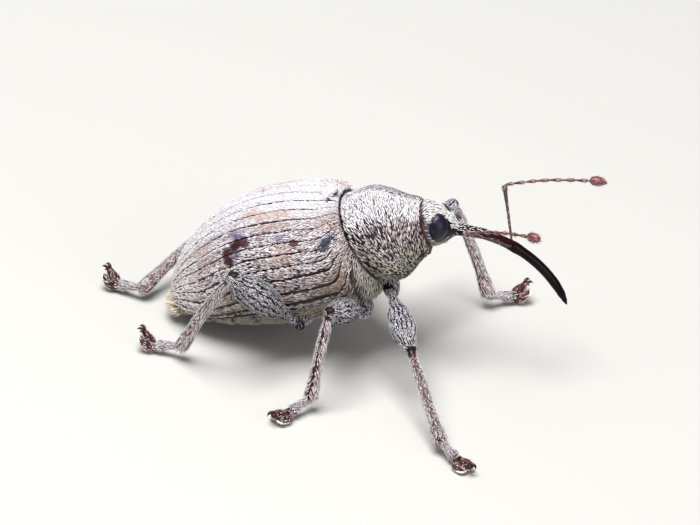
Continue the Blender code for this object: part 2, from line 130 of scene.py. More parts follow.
def shoulder_sink(share, angle):
    """How far the base rounds in to meet the rim of the prothorax, more at the flank than on the back."""
    part = np.clip(1 - share / SHOULDER_LENGTH, 0, 1)
    back, flank_drop = SHOULDER_DROP
    depth = back + (flank_drop - back) * np.sin(np.radians(np.minimum(angle, 90))) ** 2
    return depth * (1 - np.sqrt(1 - part ** 2))


def wrap(name, shares, turns, form, band=(0, 1)):
    """Wraps a flat sheet round a form and closes it. shares and turns are lists, or counts of even steps, and
    form gives places in millimetres at shares along it and turns round it. The UV map named Place keeps both
    for material and coat, the shares within a band of it."""
    shares, turns = [np.linspace(0, 1, v) if isinstance(v, int) else v for v in (shares, turns)]
    bpy.ops.object.select_all(action="DESELECT")
    bpy.ops.mesh.primitive_grid_add(x_subdivisions=len(shares) - 1, y_subdivisions=len(turns) - 1, size=1)
    sheet = bpy.context.object
    sheet.name = sheet.data.name = name
    mesh = sheet.data
    flat = np.empty(len(mesh.vertices) * 3)
    mesh.vertices.foreach_get("co", flat)
    flat = flat.reshape(-1, 3)
    share = shares[np.rint((flat[:, 0] + 0.5) * (len(shares) - 1)).astype(int)]
    turn = turns[np.rint((flat[:, 1] + 0.5) * (len(turns) - 1)).astype(int)]
    mesh.vertices.foreach_set("co", (form(share, turn) * MM).ravel())
    corners = np.empty(len(mesh.loops), int)
    mesh.loops.foreach_get("vertex_index", corners)
    along = band[0] + (band[1] - band[0]) * share[corners]
    mesh.uv_layers[0].name = "Place"
    mesh.uv_layers["Place"].uv.foreach_set("vector", np.stack((along, turn[corners]), 1).ravel())
    bpy.ops.object.mode_set(mode="EDIT")
    bpy.ops.mesh.select_all(action="SELECT")
    bpy.ops.mesh.remove_doubles(threshold=1e-7)
    bpy.ops.mesh.fill_holes(sides=0)
    bpy.ops.mesh.normals_make_consistent(inside=False)
    bpy.ops.object.mode_set(mode="OBJECT")
    bpy.ops.object.shade_smooth()
    return sheet


def fit(piece, material, slot, *nodes):
    """Gives a piece its material, and its body and its replaced nodes. Its slot is not used."""
    piece.data.materials.append(material)
    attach(piece, "root")
    if nodes:
        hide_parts(*nodes)


def ripple(x, y, seed):
    """Smooth, uneven waves between about -1 and 1, for what grows unevenly."""
    draw = np.random.default_rng(seed)
    total = 0
    for size in (1.0, 1.9, 3.1, 5.3):
        a, b = draw.normal(size=2)
        total = total + np.sin(size * (a * x + b * y) + draw.uniform(0, 6.3)) / size ** 0.6
    return total / 2.2


def stria_gap(share, turn):
    """How far a place on a wing case lies from the nearest groove, in widths of a row, and which groove."""
    row = turn / OUTER * ROWS
    nearest = np.clip(np.rint(row), 1, STRIAE)
    return np.abs(row - nearest + STRIA_WOBBLE * ripple(share * 20, nearest * 5, 6)), nearest


def pit_wave(share, nearest):
    """From 0 between two pits of a groove to 1 in the middle of one. Pits stand unevenly."""
    uneven = 0.3 * ripple(share * 12, nearest * 3, 9)
    return 0.5 + 0.5 * np.cos(TAU * (share * PITS_ALONG + nearest * 0.37 + uneven))


def wing_form(side):
    def form(share, turn):
        outer = np.minimum(turn / OUTER, 1)
        gap, nearest = stria_gap(share, turn)
        pits = SHALLOWEST_PIT + (1 - SHALLOWEST_PIT) * pit_wave(share, nearest)
        groove = STRIA_DEPTH * np.exp(-(gap / STRIA_HALF_WIDTH) ** 2) * (1 - share) ** 0.25 * pits
        edge = margin_angle(share)
        bevel = shoulder_sink(share, edge * outer)
        skin = hind_places(share, edge * outer, side, COAT_DEPTH + bevel + groove)
        skin[:, 1] = side * np.maximum(np.abs(skin[:, 1]), SEAM_HALF_GAP)
        inner = np.clip((turn - OUTER) / (1 - OUTER), 0, 1)
        low = hind_places(share, edge, side, COAT_DEPTH + shoulder_sink(share, edge))
        high = hind_places(share, edge * 0, side, COAT_DEPTH + shoulder_sink(share, edge * 0))
        seam_y = np.full(len(share), side * SEAM_HALF_GAP)
        corner = np.stack(((low[:, 0] + high[:, 0]) / 2, seam_y, low[:, 2]), 1)
        high[:, 1] = seam_y
        first, second = np.clip(inner * 2, 0, 1)[:, None], np.clip(inner * 2 - 1, 0, 1)[:, None]
        wall = np.where(second > 0, corner + (high - corner) * second, low + (corner - low) * first)
        return in_body(np.where((turn > OUTER)[:, None], wall, skin))

    return form


wing_shares = np.unique(np.concatenate((1 - (1 - np.linspace(0, 1, 131)) ** 1.4, RIM_SHARES)))
wings = {word: wrap("wing_case_" + word, wing_shares, 101, wing_form(side)) for word, side in SIDES.items()}


def linear(code):
    """An sRGB hex colour as linear values."""
    parts = [int(code[i:i + 2], 16) / 255 for i in (1, 3, 5)]
    return [p / 12.92 if p <= 0.04045 else ((p + 0.055) / 1.055) ** 2.4 for p in parts] + [1]


def add(tree, kind, inputs, out=0, **settings):
    """Adds a node with its settings, fills its sockets with values, hex colours or other nodes' outputs, and
    gives one of its outputs."""
    made = tree.nodes.new("ShaderNode" + kind)
    for name, value in settings.items():
        setattr(made, name, value)
    for socket, value in inputs.items():
        if isinstance(value, bpy.types.NodeSocket):
            tree.links.new(value, made.inputs[socket])
        else:
            made.inputs[socket].default_value = linear(value) if isinstance(value, str) else value
    return made.outputs[out]


def step(tree, value, low, high, start=0.0, end=1.0):
    """A smooth step of a value between two limits."""
    limits = {"Value": value, "From Min": low, "From Max": high, "To Min": start, "To Max": end}
    return add(tree, "MapRange", limits, interpolation_type="SMOOTHSTEP")


def paint(tree, under, over, share, *limits):
    """Lays a colour over another by a share, or with limits by the share's smooth step between them."""
    share = step(tree, share, *limits) if limits else share
    return add(tree, "Mix", {0: share, 6: under, 7: over}, 2, data_type="RGBA")


def place_on(tree):
    """A skin's own run of shares, and of turns round it."""
    place = add(tree, "UVMap", {}, uv_map="Place")
    return [add(tree, "SeparateXYZ", {0: place}, axis) for axis in "XY"]


def grain(tree, scale):
    """Uneven grain on Object coordinates, scale being the bumps in a millimetre."""
    place = add(tree, "TexCoord", {}, "Object")
    noise = {"Vector": place, "Scale": scale / MM, "Detail": 3.0, "Roughness": 0.55}
    return add(tree, "TexNoise", noise, "Fac")


def start_material(name, roughness, specular=0.5):
    material = bpy.data.materials.new(name)
    material.use_nodes = True
    sockets = material.node_tree.nodes["Principled BSDF"].inputs
    sockets["Roughness"].default_value = roughness
    sockets["Specular IOR Level"].default_value = specular
    return material, material.node_tree


def finish_material(tree, colour, bumps=None, height=0.0, strength=0.5, invert=False):
    """Links a material's colour and, where it has some, its bumps of a height in millimetres."""
    sockets = tree.nodes["Principled BSDF"].inputs
    tree.links.new(colour, sockets["Base Color"])
    if bumps is not None:
        relief = {"Height": bumps, "Distance": height * MM, "Strength": strength}
        tree.links.new(add(tree, "Bump", relief, invert=invert), sockets["Normal"])


def wing_marks(tree, base, dark):
    """Lays the wing cases' marks over a colour. Each is an uneven spot at a share of the length and a row."""
    place = add(tree, "UVMap", {}, uv_map="Place")
    rough = {"Vector": add(tree, "TexCoord", {}, "Object"), "Scale": 6 / MM, "Detail": 5, "Roughness": 0.75}
    rough = add(tree, "TexNoise", rough, "Color")
    uneven = add(tree, "VectorMath", {0: rough, 1: (0.5, 0.5, 0.5)}, operation="SUBTRACT")
    for share, row, length, width, colour, depth in WING_MARKS:
        offset = add(tree, "VectorMath", {0: place, 1: (share, row / ROWS * OUTER, 0)}, operation="SUBTRACT")
        shrink = (1 / length, ROWS / OUTER / width, 0)
        sized = add(tree, "VectorMath", {0: offset, 1: shrink}, operation="MULTIPLY")
        bent = add(tree, "VectorMath", {0: uneven, 1: (2.6, 2.6, 0), 2: sized}, operation="MULTIPLY_ADD")
        far = add(tree, "VectorMath", {0: bent}, "Value", operation="LENGTH")
        base = paint(tree, base, colour, far, 0.7, 1.3, depth * dark, 0.0)
    return base


# share of the length, row from the back, half length in shares, half width in rows, colour, strength
WING_MARKS = [
    (0.425, 1.9, 0.060, 0.55, "#d09c82", 0.50),
    (0.345, 2.3, 0.050, 0.50, "#d6a78e", 0.42),
    (0.245, 2.3, 0.050, 0.50, "#d2a288", 0.42),
    (0.028, 0.95, 0.010, 0.30, "#0c090d", 0.95),
    (0.330, 3.5, 0.100, 0.45, "#b98e80", 0.35),
    (0.720, 3.2, 0.070, 0.70, "#c0a08c", 0.40),
    (0.700, 4.7, 0.050, 0.60, "#ab8168", 0.40),
    (0.300, 6.4, 0.110, 0.50, "#a58b84", 0.35),
    (0.520, 3.30, 0.024, 0.46, "#6c5d86", 0.75),
    (0.485, 3.95, 0.034, 0.50, "#5d4a74", 0.85),
    (0.455, 4.50, 0.026, 0.46, "#471526", 0.95),
    (0.510, 4.50, 0.038, 0.52, "#350c17", 1.00),
    (0.565, 4.80, 0.026, 0.48, "#3c1019", 1.00),
    (0.555, 5.55, 0.032, 0.46, "#3f1018", 1.00),
    (0.515, 5.30, 0.026, 0.36, "#5a4770", 0.70),
    (0.640, 3.00, 0.016, 0.40, "#84779a", 0.45),
    (0.270, 4.60, 0.026, 0.40, "#85769c", 0.65),
    (0.205, 5.10, 0.024, 0.30, "#500f16", 1.00),
    (0.150, 4.50, 0.020, 0.26, "#7d4440", 0.60),
    (0.175, 6.00, 0.020, 0.26, "#74403c", 0.60),
    (0.056, 5.90, 0.034, 0.62, "#36324e", 0.95),
    (0.380, 1.00, 0.016, 0.35, "#8b7f9c", 0.45),
    (0.100, 9.30, 0.090, 0.70, "#957a5e", 0.45),
    (0.560, 8.60, 0.140, 1.00, "#9b8462", 0.35),
]

# Chitin is the insect's horn-like shell, laid down soft and hardened in the air, here nearly black-brown and
# satin. Between the scales it gives the eye thin dark gaps, and in the grooves dark, broken lines.
wing_skin, tree = start_material("dark_chitin_wing_case", 0.42, 0.25)
run, around = place_on(tree)
row = add(tree, "Math", {0: around, 1: ROWS / OUTER}, operation="MULTIPLY")
off_line = step(tree, add(tree, "Math", {0: row, 1: 0.5}, operation="PINGPONG"), 0.04, 0.13)
off_line = add(tree, "Math", {0: off_line, 1: step(tree, row, 0.4, 0.5, 1, 0)}, operation="MAXIMUM")
field = paint(tree, "#241a1b", "#5b4a49", step(tree, grain(tree, 3.0), 0.35, 0.7))
# Across the back the skin is painted a light grey: painted light of the lamp above.
field = paint(tree, "#b1a7b1", field, around, 0.14, 0.4)
field = paint(tree, field, "#9a8d92", run, 0.6, 0.85, 0, 0.5)
chitin = paint(tree, "#120b0c", wing_marks(tree, field, 0.9), off_line)
# Along the lower margin and on the wall under it the skin is painted nearly black: partly the margin's own
# dark edge, partly painted shade of the gap under the overhang.
chitin = paint(tree, chitin, "#0b0708", around, 0.92, 0.94)
# The base face, in the seam against the prothorax, is painted nearly black: painted shade.
chitin = paint(tree, "#0b0708", chitin, run, 0.0003, 0.0016)
finish_material(tree, chitin, grain(tree, 22.0), 0.006, 0.6)
for word, wing in wings.items():
    fit(wing, wing_skin, "scaled_cuticle", "elytron_" + word)


# Scales of the wing cases. The real ones are thousands of flat, hair-like scales, cream and grey, each held
# in a pore of the shell and lying back towards the tip. They leave the grooved lines bare.

SCALE_SHAPE = np.array([
    (0.0, 0.0, -0.3), (0.3, -0.9, 0.0), (0.3, 0.0, 0.7), (0.3, 0.9, 0.0),
    (0.72, -1.0, 0.0), (0.72, 0.0, 0.7), (0.72, 1.0, 0.0), (1.0, 0.0, 0.1),
])
SCALE_FACES = [
    (0, 1, 2), (0, 2, 3), (1, 4, 5, 2), (2, 5, 6, 3), (4, 7, 5),
    (5, 7, 6), (0, 3, 1), (1, 3, 6, 4), (4, 6, 7),
]
SCALE_THICKNESS = 0.2
PATCH, PATCH_MARGIN = 0.003, 0.004
TRIES_PER_PLACE = 2.2


def unit(rows):
    return rows / (np.linalg.norm(rows, axis=1, keepdims=True) + 1e-12)


def scatter(skin, spacing, seed):
    """Random places on a skin that keep their spacing: place, normal, run of shares and of turns, and map."""
    draw = np.random.default_rng(seed)
    mesh = skin.data
    mesh.calc_loop_triangles()
    count = len(mesh.loop_triangles)
    corners, loops = np.empty(count * 3, int), np.empty(count * 3, int)
    mesh.loop_triangles.foreach_get("vertices", corners)
    mesh.loop_triangles.foreach_get("loops", loops)
    co, normal = np.empty(len(mesh.vertices) * 3), np.empty(len(mesh.vertices) * 3)
    mesh.vertices.foreach_get("co", co)
    mesh.vertices.foreach_get("normal", normal)
    spot = np.empty(len(mesh.loops) * 2)
    mesh.uv_layers["Place"].uv.foreach_get("vector", spot)
    p = co.reshape(-1, 3)[corners].reshape(-1, 3, 3) / MM
    n = normal.reshape(-1, 3)[corners].reshape(-1, 3, 3)
    t = spot.reshape(-1, 2)[loops].reshape(-1, 3, 2)
    e, d = p[:, 1:] - p[:, :1], t[:, 1:] - t[:, :1]
    turn = d[:, 0, 0] * d[:, 1, 1] - d[:, 0, 1] * d[:, 1, 0]
    area = np.linalg.norm(np.cross(e[:, 0], e[:, 1]), axis=1) / 2 * (np.abs(turn) > 1e-12)
    turn = np.where(np.abs(turn) > 1e-12, turn, 1)[:, None]
    run = (e[:, 0] * d[:, 1, 1:] - e[:, 1] * d[:, 0, 1:]) / turn
    wind = (e[:, 1] * d[:, 0, :1] - e[:, 0] * d[:, 1, :1]) / turn
    tries = int(area.sum() / spacing ** 2 * TRIES_PER_PLACE)
    pick = np.searchsorted(np.cumsum(area), draw.uniform(0, area.sum(), tries)).clip(0, count - 1)
    a, b = draw.uniform(size=(2, tries))
    a, b = np.where(a + b > 1, 1 - a, a), np.where(a + b > 1, 1 - b, b)
    mix = np.stack((1 - a - b, a, b), 1)[:, :, None]
    places = (p[pick] * mix).sum(1)
    tree = KDTree(tries)
    for i, place in enumerate(places):
        tree.insert(place, i)
    tree.balance()
    kept = np.zeros(tries, bool)
    for i, place in enumerate(places):
        kept[i] = not any(kept[j] for _, j, _ in tree.find_range(place, spacing))
    found = places, unit((n[pick] * mix).sum(1)), unit(run[pick]), unit(wind[pick]), (t[pick] * mix).sum(1)
    return [part[kept] for part in found]


def lay(name, skin, material, slot, spacing, size, lie, seed, keep=None, lift=0.12, shape=SCALE_SHAPE,
        size_at=None):
    """Lays a coat of scales on a skin. size is a scale's length and width, and lie gives how far each one
    runs along the skin and round it. Its OFBake map holds a small patch for each scale at its root."""
    places, up, run, wind, spot = scatter(skin, spacing, seed)
    draw = np.random.default_rng(seed + 1)
    if keep is not None:
        wanted = keep(places, spot, draw)
        places, up, run, wind, spot = [part[wanted] for part in (places, up, run, wind, spot)]
    count = len(places)
    forward, sideways = lie(places, spot, draw)
    ahead = run * np.reshape(forward, (-1, 1)) + wind * np.reshape(sideways, (-1, 1))
    ahead = ahead + draw.normal(0, 0.13, (count, 3))
    ahead -= up * (ahead * up).sum(1, keepdims=True)
    ahead /= np.linalg.norm(ahead, axis=1, keepdims=True)
    left = np.cross(up, ahead)
    grow = 1.0 if size_at is None else size_at(places, spot)
    length = size[0] * draw.uniform(0.7, 1.25, count) * grow
    width = size[1] * draw.uniform(0.75, 1.25, count) / 2
    s, t, h = shape.T
    stand = (lift * length * draw.uniform(0.6, 1.4, count))[:, None]
    high = h[None] * SCALE_THICKNESS * 2 * width[:, None] + np.sqrt(s)[None] * stand
    co = (places[:, None] + ahead[:, None] * (length[:, None] * s)[:, :, None]
          + left[:, None] * (width[:, None] * t)[:, :, None] + up[:, None] * high[:, :, None])
    mesh = bpy.data.meshes.new(name)
    sizes = [len(f) for f in SCALE_FACES]
    around = (np.concatenate(SCALE_FACES)[None] + np.arange(count)[:, None] * len(shape)).ravel()
    mesh.vertices.add(count * len(shape))
    mesh.vertices.foreach_set("co", (co * MM).ravel())
    mesh.loops.add(len(around))
    mesh.loops.foreach_set("vertex_index", around)
    mesh.polygons.add(count * len(SCALE_FACES))
    mesh.polygons.foreach_set("loop_start", np.concatenate(([0], np.cumsum(sizes * count)[:-1])))
    mesh.update(calc_edges=True)
    shade = mesh.attributes.new("tone", "FLOAT", "POINT")
    shade.data.foreach_set("value", np.repeat(draw.uniform(size=count), len(shape)))
    root = spot[np.repeat(np.arange(count), sum(sizes))]
    patch = np.stack((s - 0.5, t / 2), 1)[np.tile(np.concatenate(SCALE_FACES), count)] * PATCH
    baked = PATCH_MARGIN + (1 - 2 * PATCH_MARGIN) * root + patch
    for title, value in (("Place", root), ("OFBake", baked)):
        mesh.uv_layers.new(name=title).uv.foreach_set("vector", value.ravel())
    coat = bpy.data.objects.new(name, mesh)
    bpy.context.scene.collection.objects.link(coat)
    fit(coat, material, slot)


def back_with(sway):
    """Scales that lie back along a piece, and sway round it."""
    return lambda places, spot, draw: (np.ones(len(spot)), sway(spot, draw))


def start_coat(name, roughness=0.6):
    """A material for a coat, with each scale's own tone."""
    material, tree = start_material(name, roughness)
    return material, tree, add(tree, "Attribute", {}, "Fac", attribute_name="tone")


def wing_keep(places, spot, draw):
    share = spot[:, 0]
    row = spot[:, 1] / OUTER * ROWS
    gap, nearest = stria_gap(share, spot[:, 1])
    low = np.clip((nearest - 7) / 3, 0, 1)
    line = 0.05 + 0.06 * ripple(share * 14, nearest * 9, 5) - 0.03 * (nearest < 3) + 0.12 * low
    line = line * (0.25 + 0.95 * pit_wave(share, nearest) ** 0.7 * (1 - 0.5 * low) + 0.5 * low)
    line = line * np.where((ripple(share * 11, nearest * 11, 17) > 0.1) & (nearest < 7), 0.2, 1)
    line = np.where(share < 0.03, -1, line * ease([(0, 0.5), (0.06, 0.6), (0.2, 1), (1, 1)], share))
    worn = 0.45 * np.clip(ripple(share * 9, row * 0.9, 12), 0, 1) * np.clip((row - 2) / 3, 0, 1)
    torn = ripple(share * 16, row * 3.3, 15) > 0.95 - 0.2 * np.clip((row - 3) / 3, 0, 1)
    worn = np.maximum(worn, 0.9 * torn * (row > 1.5))
    worn = np.maximum(worn, 0.3 * np.clip((row - 4) / 3, 0, 1))
    worn = worn * np.clip(share / 0.12, 0, 1)
    margin = OUTER - ease([(0, 0), (0.3, 0.004), (0.5, 0.02), (0.8, 0.02), (0.95, 0.004), (1, 0)], share)
    inside = (spot[:, 1] < margin) & (spot[:, 1] > 0.001)
    return (gap > line) & inside & (draw.uniform(size=len(row)) > worn)


def wing_lie(places, spot, draw):
    row = spot[:, 1] / OUTER * ROWS
    part = row - np.floor(row) - 0.5
    slant = 0.4 * np.cos(np.pi * part) * ripple(spot[:, 0] * 6, row * 0.8, 8)
    upward = 0.5 * np.clip((row - 5.5) / 2, 0, 1) * np.cos(np.pi * part)
    return np.ones(len(row)), slant - upward - 0.35 * (2 * part) ** 3


# Scales are flattened bristles of pale chitin full of air, which scatters the light: they look chalky white
# to cream, a little different one from the next, and tinted brown, violet or maroon where the marks are.
wing_coat, tree, tone = start_coat("cream_wing_scales")
run, around = place_on(tree)
cream, white, grey = [paint(tree, dark, pale, tone) for dark, pale in
                      (("#a99ea6", "#fffbfe"), ("#e6e0ea", "#ffffff"), ("#6c6062", "#dad0c9"))]
cream = paint(tree, cream, "#cdaea6", grain(tree, 1.1), 0.46, 0.66, 0, 0.6)
# On the back the scales are painted whiter: a painted highlight of the lamp above.
cream = paint(tree, white, cream, around, 0.1, 0.32)
cream = paint(tree, cream, grey, around, 0.5, 0.92, 0, 0.7)
cream = paint(tree, cream, "#f8f2f2", run, 0.66, 0.9, 0, 0.75)
rust = step(tree, grain(tree, 5.5), 0.56, 0.66, 0, 0.55)
for part in (step(tree, around, 0.12, 0.3), step(tree, run, 0.55, 0.8, 1, 0)):
    rust = add(tree, "Math", {0: rust, 1: part}, operation="MULTIPLY")
finish_material(tree, wing_marks(tree, paint(tree, cream, "#8d564d", rust), 1.0))
for word, wing in wings.items():
    lay("wing_scales_" + word, wing, wing_coat, "scaled_cuticle", 0.0295, (0.118, 0.0235), wing_lie,
        11 + SIDES[word], wing_keep, lift=0.1)


# Prothorax, the neck shield. The real one is a single hard ring of chitin round the fore body, pitted all
# over. Here its hind rim meets the wing cases and its front rim closes round the head.

PROTHORAX_LENGTH, PROTHORAX_HALF_WIDTH, COLLAR_HALF_WIDTH = 2.2, 1.32, 0.8
PROTHORAX_WAIST, COLLAR_OVERLAP = -0.1, 0.03
SEAM_GAP, PIT_DEPTH = 0.01, 0.012


def prothorax_form(share, turn):
    angle = 360 * turn
    half_width = ease([(0, 0.93), (0.3, 1.0), (1, COLLAR_HALF_WIDTH / PROTHORAX_HALF_WIDTH)], share)
    top = ease([(0, 1.12), (0.35, 1.22), (1, 0.7)], share)
    bottom = ease([(0, -1.42), (0.35, -1.5), (1, -0.93)], share)
    rim = 0.05 * np.maximum(0, 1 - share / 0.03) ** 2 + 0.2 * np.maximum(0, (share - 0.93) / 0.07) ** 2
    sink = COAT_DEPTH + rim + PIT_DEPTH * (1 - ripple(share * 14, np.cos(np.radians(angle)) * 5, 21))
    y, z = oval(PROTHORAX_HALF_WIDTH * half_width - sink, top - sink, PROTHORAX_WAIST, bottom + sink, angle)
    base = seam_x(z) + SEAM_GAP
    return in_body(np.stack((base + (PROTHORAX_LENGTH + COLLAR_OVERLAP - base) * share, y, z), 1))


def prothorax_lie(places, spot, draw):
    side = np.where(spot[:, 1] < 0.5, 1, -1)
    waves = 0.35 * ripple(spot[:, 0] * 5, np.minimum(spot[:, 1], 1 - spot[:, 1]) * 16, 31)
    sweep = 0.35 + 0.5 * np.cos(np.pi * spot[:, 0]) + waves
    return -sweep * 0.8, -side * np.ones(len(side))


def prothorax_keep(places, spot, draw):
    low = np.clip((0.5 - np.abs(spot[:, 1] - 0.5) - 0.11) / 0.06, 0, 1)
    worn = low * (0.34 + 0.4 * np.clip(ripple(spot[:, 0] * 8, spot[:, 1] * 24, 33), 0, 1))
    return (spot[:, 0] > 0.01) & (spot[:, 0] < 0.98) & (draw.uniform(size=len(low)) > worn)


prothorax_shares = [0.005, 0.012, 0.024, 0.94, 0.96, 0.975, 0.99]
prothorax_shares = np.unique(np.concatenate((np.linspace(0, 1, 61), prothorax_shares)))
prothorax = wrap("prothorax_shield", prothorax_shares, 97, prothorax_form)

# The same nearly black chitin, with a coarser grain of pits, which shows as dark gaps between the scales. It
# is bare and dark red at the collar.
shield_skin, tree = start_material("pitted_dark_chitin", 0.5, 0.25)
run, around = place_on(tree)
field = paint(tree, "#110c0e", "#2e2427", grain(tree, 5.0), 0.35, 0.65)
field = paint(tree, field, "#3a1411", run, 0.965, 0.985)
# Its hind face, in the seam against the wing cases, is painted nearly black: painted shade.
finish_material(tree, paint(tree, "#080506", field, run, 0.0004, 0.003), grain(tree, 16.0), 0.012, 0.8)
fit(prothorax, shield_skin, "scaled_cuticle", "prothorax")

# The same chalky scales: white above, a brown and violet band along the side, and straw yellow below
shield_coat, tree, tone = start_coat("cream_shield_scales")
run, around = place_on(tree)
side = add(tree, "Math", {0: around, 1: 0.5}, operation="PINGPONG")
uneven = add(tree, "Math", {0: grain(tree, 1.6), 1: 0.09, 2: -0.045}, operation="MULTIPLY_ADD")
side = add(tree, "Math", {0: side, 1: uneven}, operation="ADD")
upper, band, lower = [paint(tree, dark, pale, tone) for dark, pale in
                      (("#bab0b6", "#fffdff"), ("#705a5f", "#ece0e2"), ("#757063", "#efebd9"))]
finish_material(tree, paint(tree, paint(tree, upper, band, side, 0.13, 0.2), lower, side, 0.25, 0.31))
lay("prothorax_scales", prothorax, shield_coat, "scaled_cuticle", 0.0315, (0.13, 0.0255), prothorax_lie, 41,
    prothorax_keep)


# Scutellum. The real one is the small shield-shaped plate of chitin between the bases of the wing cases,
# domed and so thickly covered with white scales that it shows as a white dot.

SCUTELLUM_HALF_SIZES, SCUTELLUM_PLACE = (0.27, 0.2, 0.15), (-0.22, 0, 1.34)


def scutellum_form(share, turn):
    angle = TAU * turn
    radius = np.sin(math.pi / 2 * np.minimum(1, share * 1.02))
    dome = np.stack((radius * np.cos(angle), radius * np.sin(angle), np.cos(math.pi / 2 * share)), 1)
    return in_body(dome * SCUTELLUM_HALF_SIZES + SCUTELLUM_PLACE)


def backwards(places, spot, draw):
    return -np.cos(TAU * spot[:, 1]), np.sin(TAU * spot[:, 1])


# The same chitin, smoother, for the plates and the head. It darkens to bare black at the snout's root.
head_skin, tree = start_material("smooth_head_chitin", 0.3, 0.25)
run, around = place_on(tree)
field = paint(tree, "#1f181b", "#54474b", grain(tree, 6.0), 0.35, 0.65)
finish_material(tree, paint(tree, field, "#090607", run, 0.5, 0.62), grain(tree, 20.0), 0.008, 0.6)

# White scales, the same air-filled bristles without any tint
pale_coat, tree, tone = start_coat("white_scales")
finish_material(tree, paint(tree, "#ddd6dc", "#fffdff", tone))

scutellum = wrap("scutellum", 17, 33, scutellum_form)
fit(scutellum, head_skin, "scaled_cuticle")
lay("scutellum_scales", scutellum, pale_coat, "scaled_cuticle", 0.019, (0.13, 0.028), backwards, 51)


# Underside of the hind body: the breast plates and the five belly plates, of the same chitin, which the wing
# cases overlap. It is one closed shell here, with a groove where plate meets plate.

UNDERSIDE_FROM, UNDERSIDE_LENGTH, UNDERSIDE_SINK = 0.0003, 0.9647, 0.07
BREAST_END, BELLY_PLATE = 0.42, 0.118
HALF_TURN, LID_TURN = 0.4, 0.8
PLATE_GROOVE, LINE_HALF_WIDTH = 0.05, 0.03
TUCKED_IN, PAST_KEEL = 6, 186


def breast_gap(share, angle):
    """How far a place lies from the nearest of the lines where the side plates of the breast meet."""
    lines = ((0.02, 0.9), (0.062, 1.3))
    near = [np.abs(share - start - slope * (angle - 84) / 1000) + 9 * (angle > 158) for start, slope in lines]
    below = np.abs(angle - MARGIN_ANGLE - 16) / 120 + 9 * ((share < 0.12) | (share > BREAST_END))
    return np.minimum(np.minimum(near[0], near[1]), below)


def underside_form(share, turn):
    share = UNDERSIDE_FROM + UNDERSIDE_LENGTH * share
    edge = margin_angle(share)
    angle = edge - TUCKED_IN + (PAST_KEEL - edge) * np.clip(turn / HALF_TURN, 0, 1)
    mirrored = np.clip((turn - HALF_TURN) / HALF_TURN, 0, 1)
    angle = np.where(turn <= HALF_TURN, angle, 180 - (PAST_KEEL - edge) * mirrored)
    plate = (share - BREAST_END) / BELLY_PLATE
    belly_line = np.exp(-((plate - np.clip(np.rint(plate), 0, 4)) / 0.1) ** 2) * (share > 0.36)
    breast_line = np.exp(-(breast_gap(share, angle) / LINE_HALF_WIDTH) ** 2)
    sink = UNDERSIDE_SINK + PLATE_GROOVE * (belly_line + breast_line) + shoulder_sink(share, angle)
    skin = hind_places(share, angle, 1, sink)
    skin[:, 1] *= np.where(turn <= HALF_TURN, 1, -1)
    roof = np.clip((turn - LID_TURN) / (1 - LID_TURN), 0, 1)
    left, right = [hind_places(share, edge - TUCKED_IN, side, UNDERSIDE_SINK) for side in (1, -1)]
    lid = right + (left - right) * roof[:, None]
    return in_body(np.where((turn > LID_TURN)[:, None], lid, skin))


def underside_keep(places, spot, draw):
    share = UNDERSIDE_FROM + UNDERSIDE_LENGTH * spot[:, 0]
    edge = margin_angle(share)
    part = np.clip(np.minimum(spot[:, 1], LID_TURN - spot[:, 1]) / HALF_TURN, 0, 1)
    angle = edge - TUCKED_IN + (PAST_KEEL - edge) * part
    return (spot[:, 1] < LID_TURN) & (breast_gap(share, angle) > 0.009)


# Belly scales, longer and straw-coloured, palest at the tip
belly_coat, tree, tone = start_coat("straw_belly_scales")
run, around = place_on(tree)
straw = paint(tree, paint(tree, "#857b68", "#ddd4bf", tone), "#aaa2a0", grain(tree, 0.8), 0.4, 0.65)
finish_material(tree, paint(tree, straw, "#f0e3b4", run, 0.93, 0.97))

underside_shares = np.unique(np.concatenate((np.linspace(0, 1, 141), [0.0004, 0.001, 0.002, 0.004, 0.01])))
underside = wrap("underside", underside_shares, 111, underside_form)
fit(underside, head_skin, "scaled_cuticle", "abdomen", "pterothorax")
lay("underside_scales", underside, belly_coat, "scaled_cuticle", 0.045, (0.17, 0.032),
    back_with(lambda s, d: 0.4 * ripple(s[:, 0] * 9, s[:, 1] * 20, 3)), 61, underside_keep,
    size_at=lambda p, s: 1 + 0.9 * np.clip((s[:, 0] - 0.92) / 0.04, 0, 1))


# Tail plate. The real one is the last plate of the back, a small cap of chitin that shows under the tips of
# the wing cases, with a tuft of fine straw-coloured hairs.

TAIL_HALF_SIZES, TAIL_PLACE = (0.3, 0.5, 0.27), (-5.2, 0, -1.2)


def tail_form(share, turn):
    polar, angle = math.pi * share, TAU * turn
    ball = -np.cos(polar), np.sin(polar) * np.sin(angle), np.sin(polar) * np.cos(angle)
    return in_body(np.stack(ball, 1) * TAIL_HALF_SIZES + TAIL_PLACE)


tuft, tree, tone = start_coat("straw_tuft_hairs")
finish_material(tree, paint(tree, "#d8c9a8", "#fff6e0", tone))
tail = wrap("tail_plate", 25, 33, tail_form)
fit(tail, head_skin, "scaled_cuticle")
lay("tail_tuft", tail, tuft, "scaled_cuticle", 0.028, (0.22, 0.02),
    lambda p, s, d: (-np.ones(len(s)), 0.3 * d.normal(size=len(s))), 65,
    lambda p, s, d: s[:, 0] < 0.55, lift=0.4)


# Head. The real one is a hard, round capsule of chitin that turns in the collar like a ball, narrows into the
# snout and has the eyes set in its sides. Its scales are the smallest, and leave the eyes' rims clear.

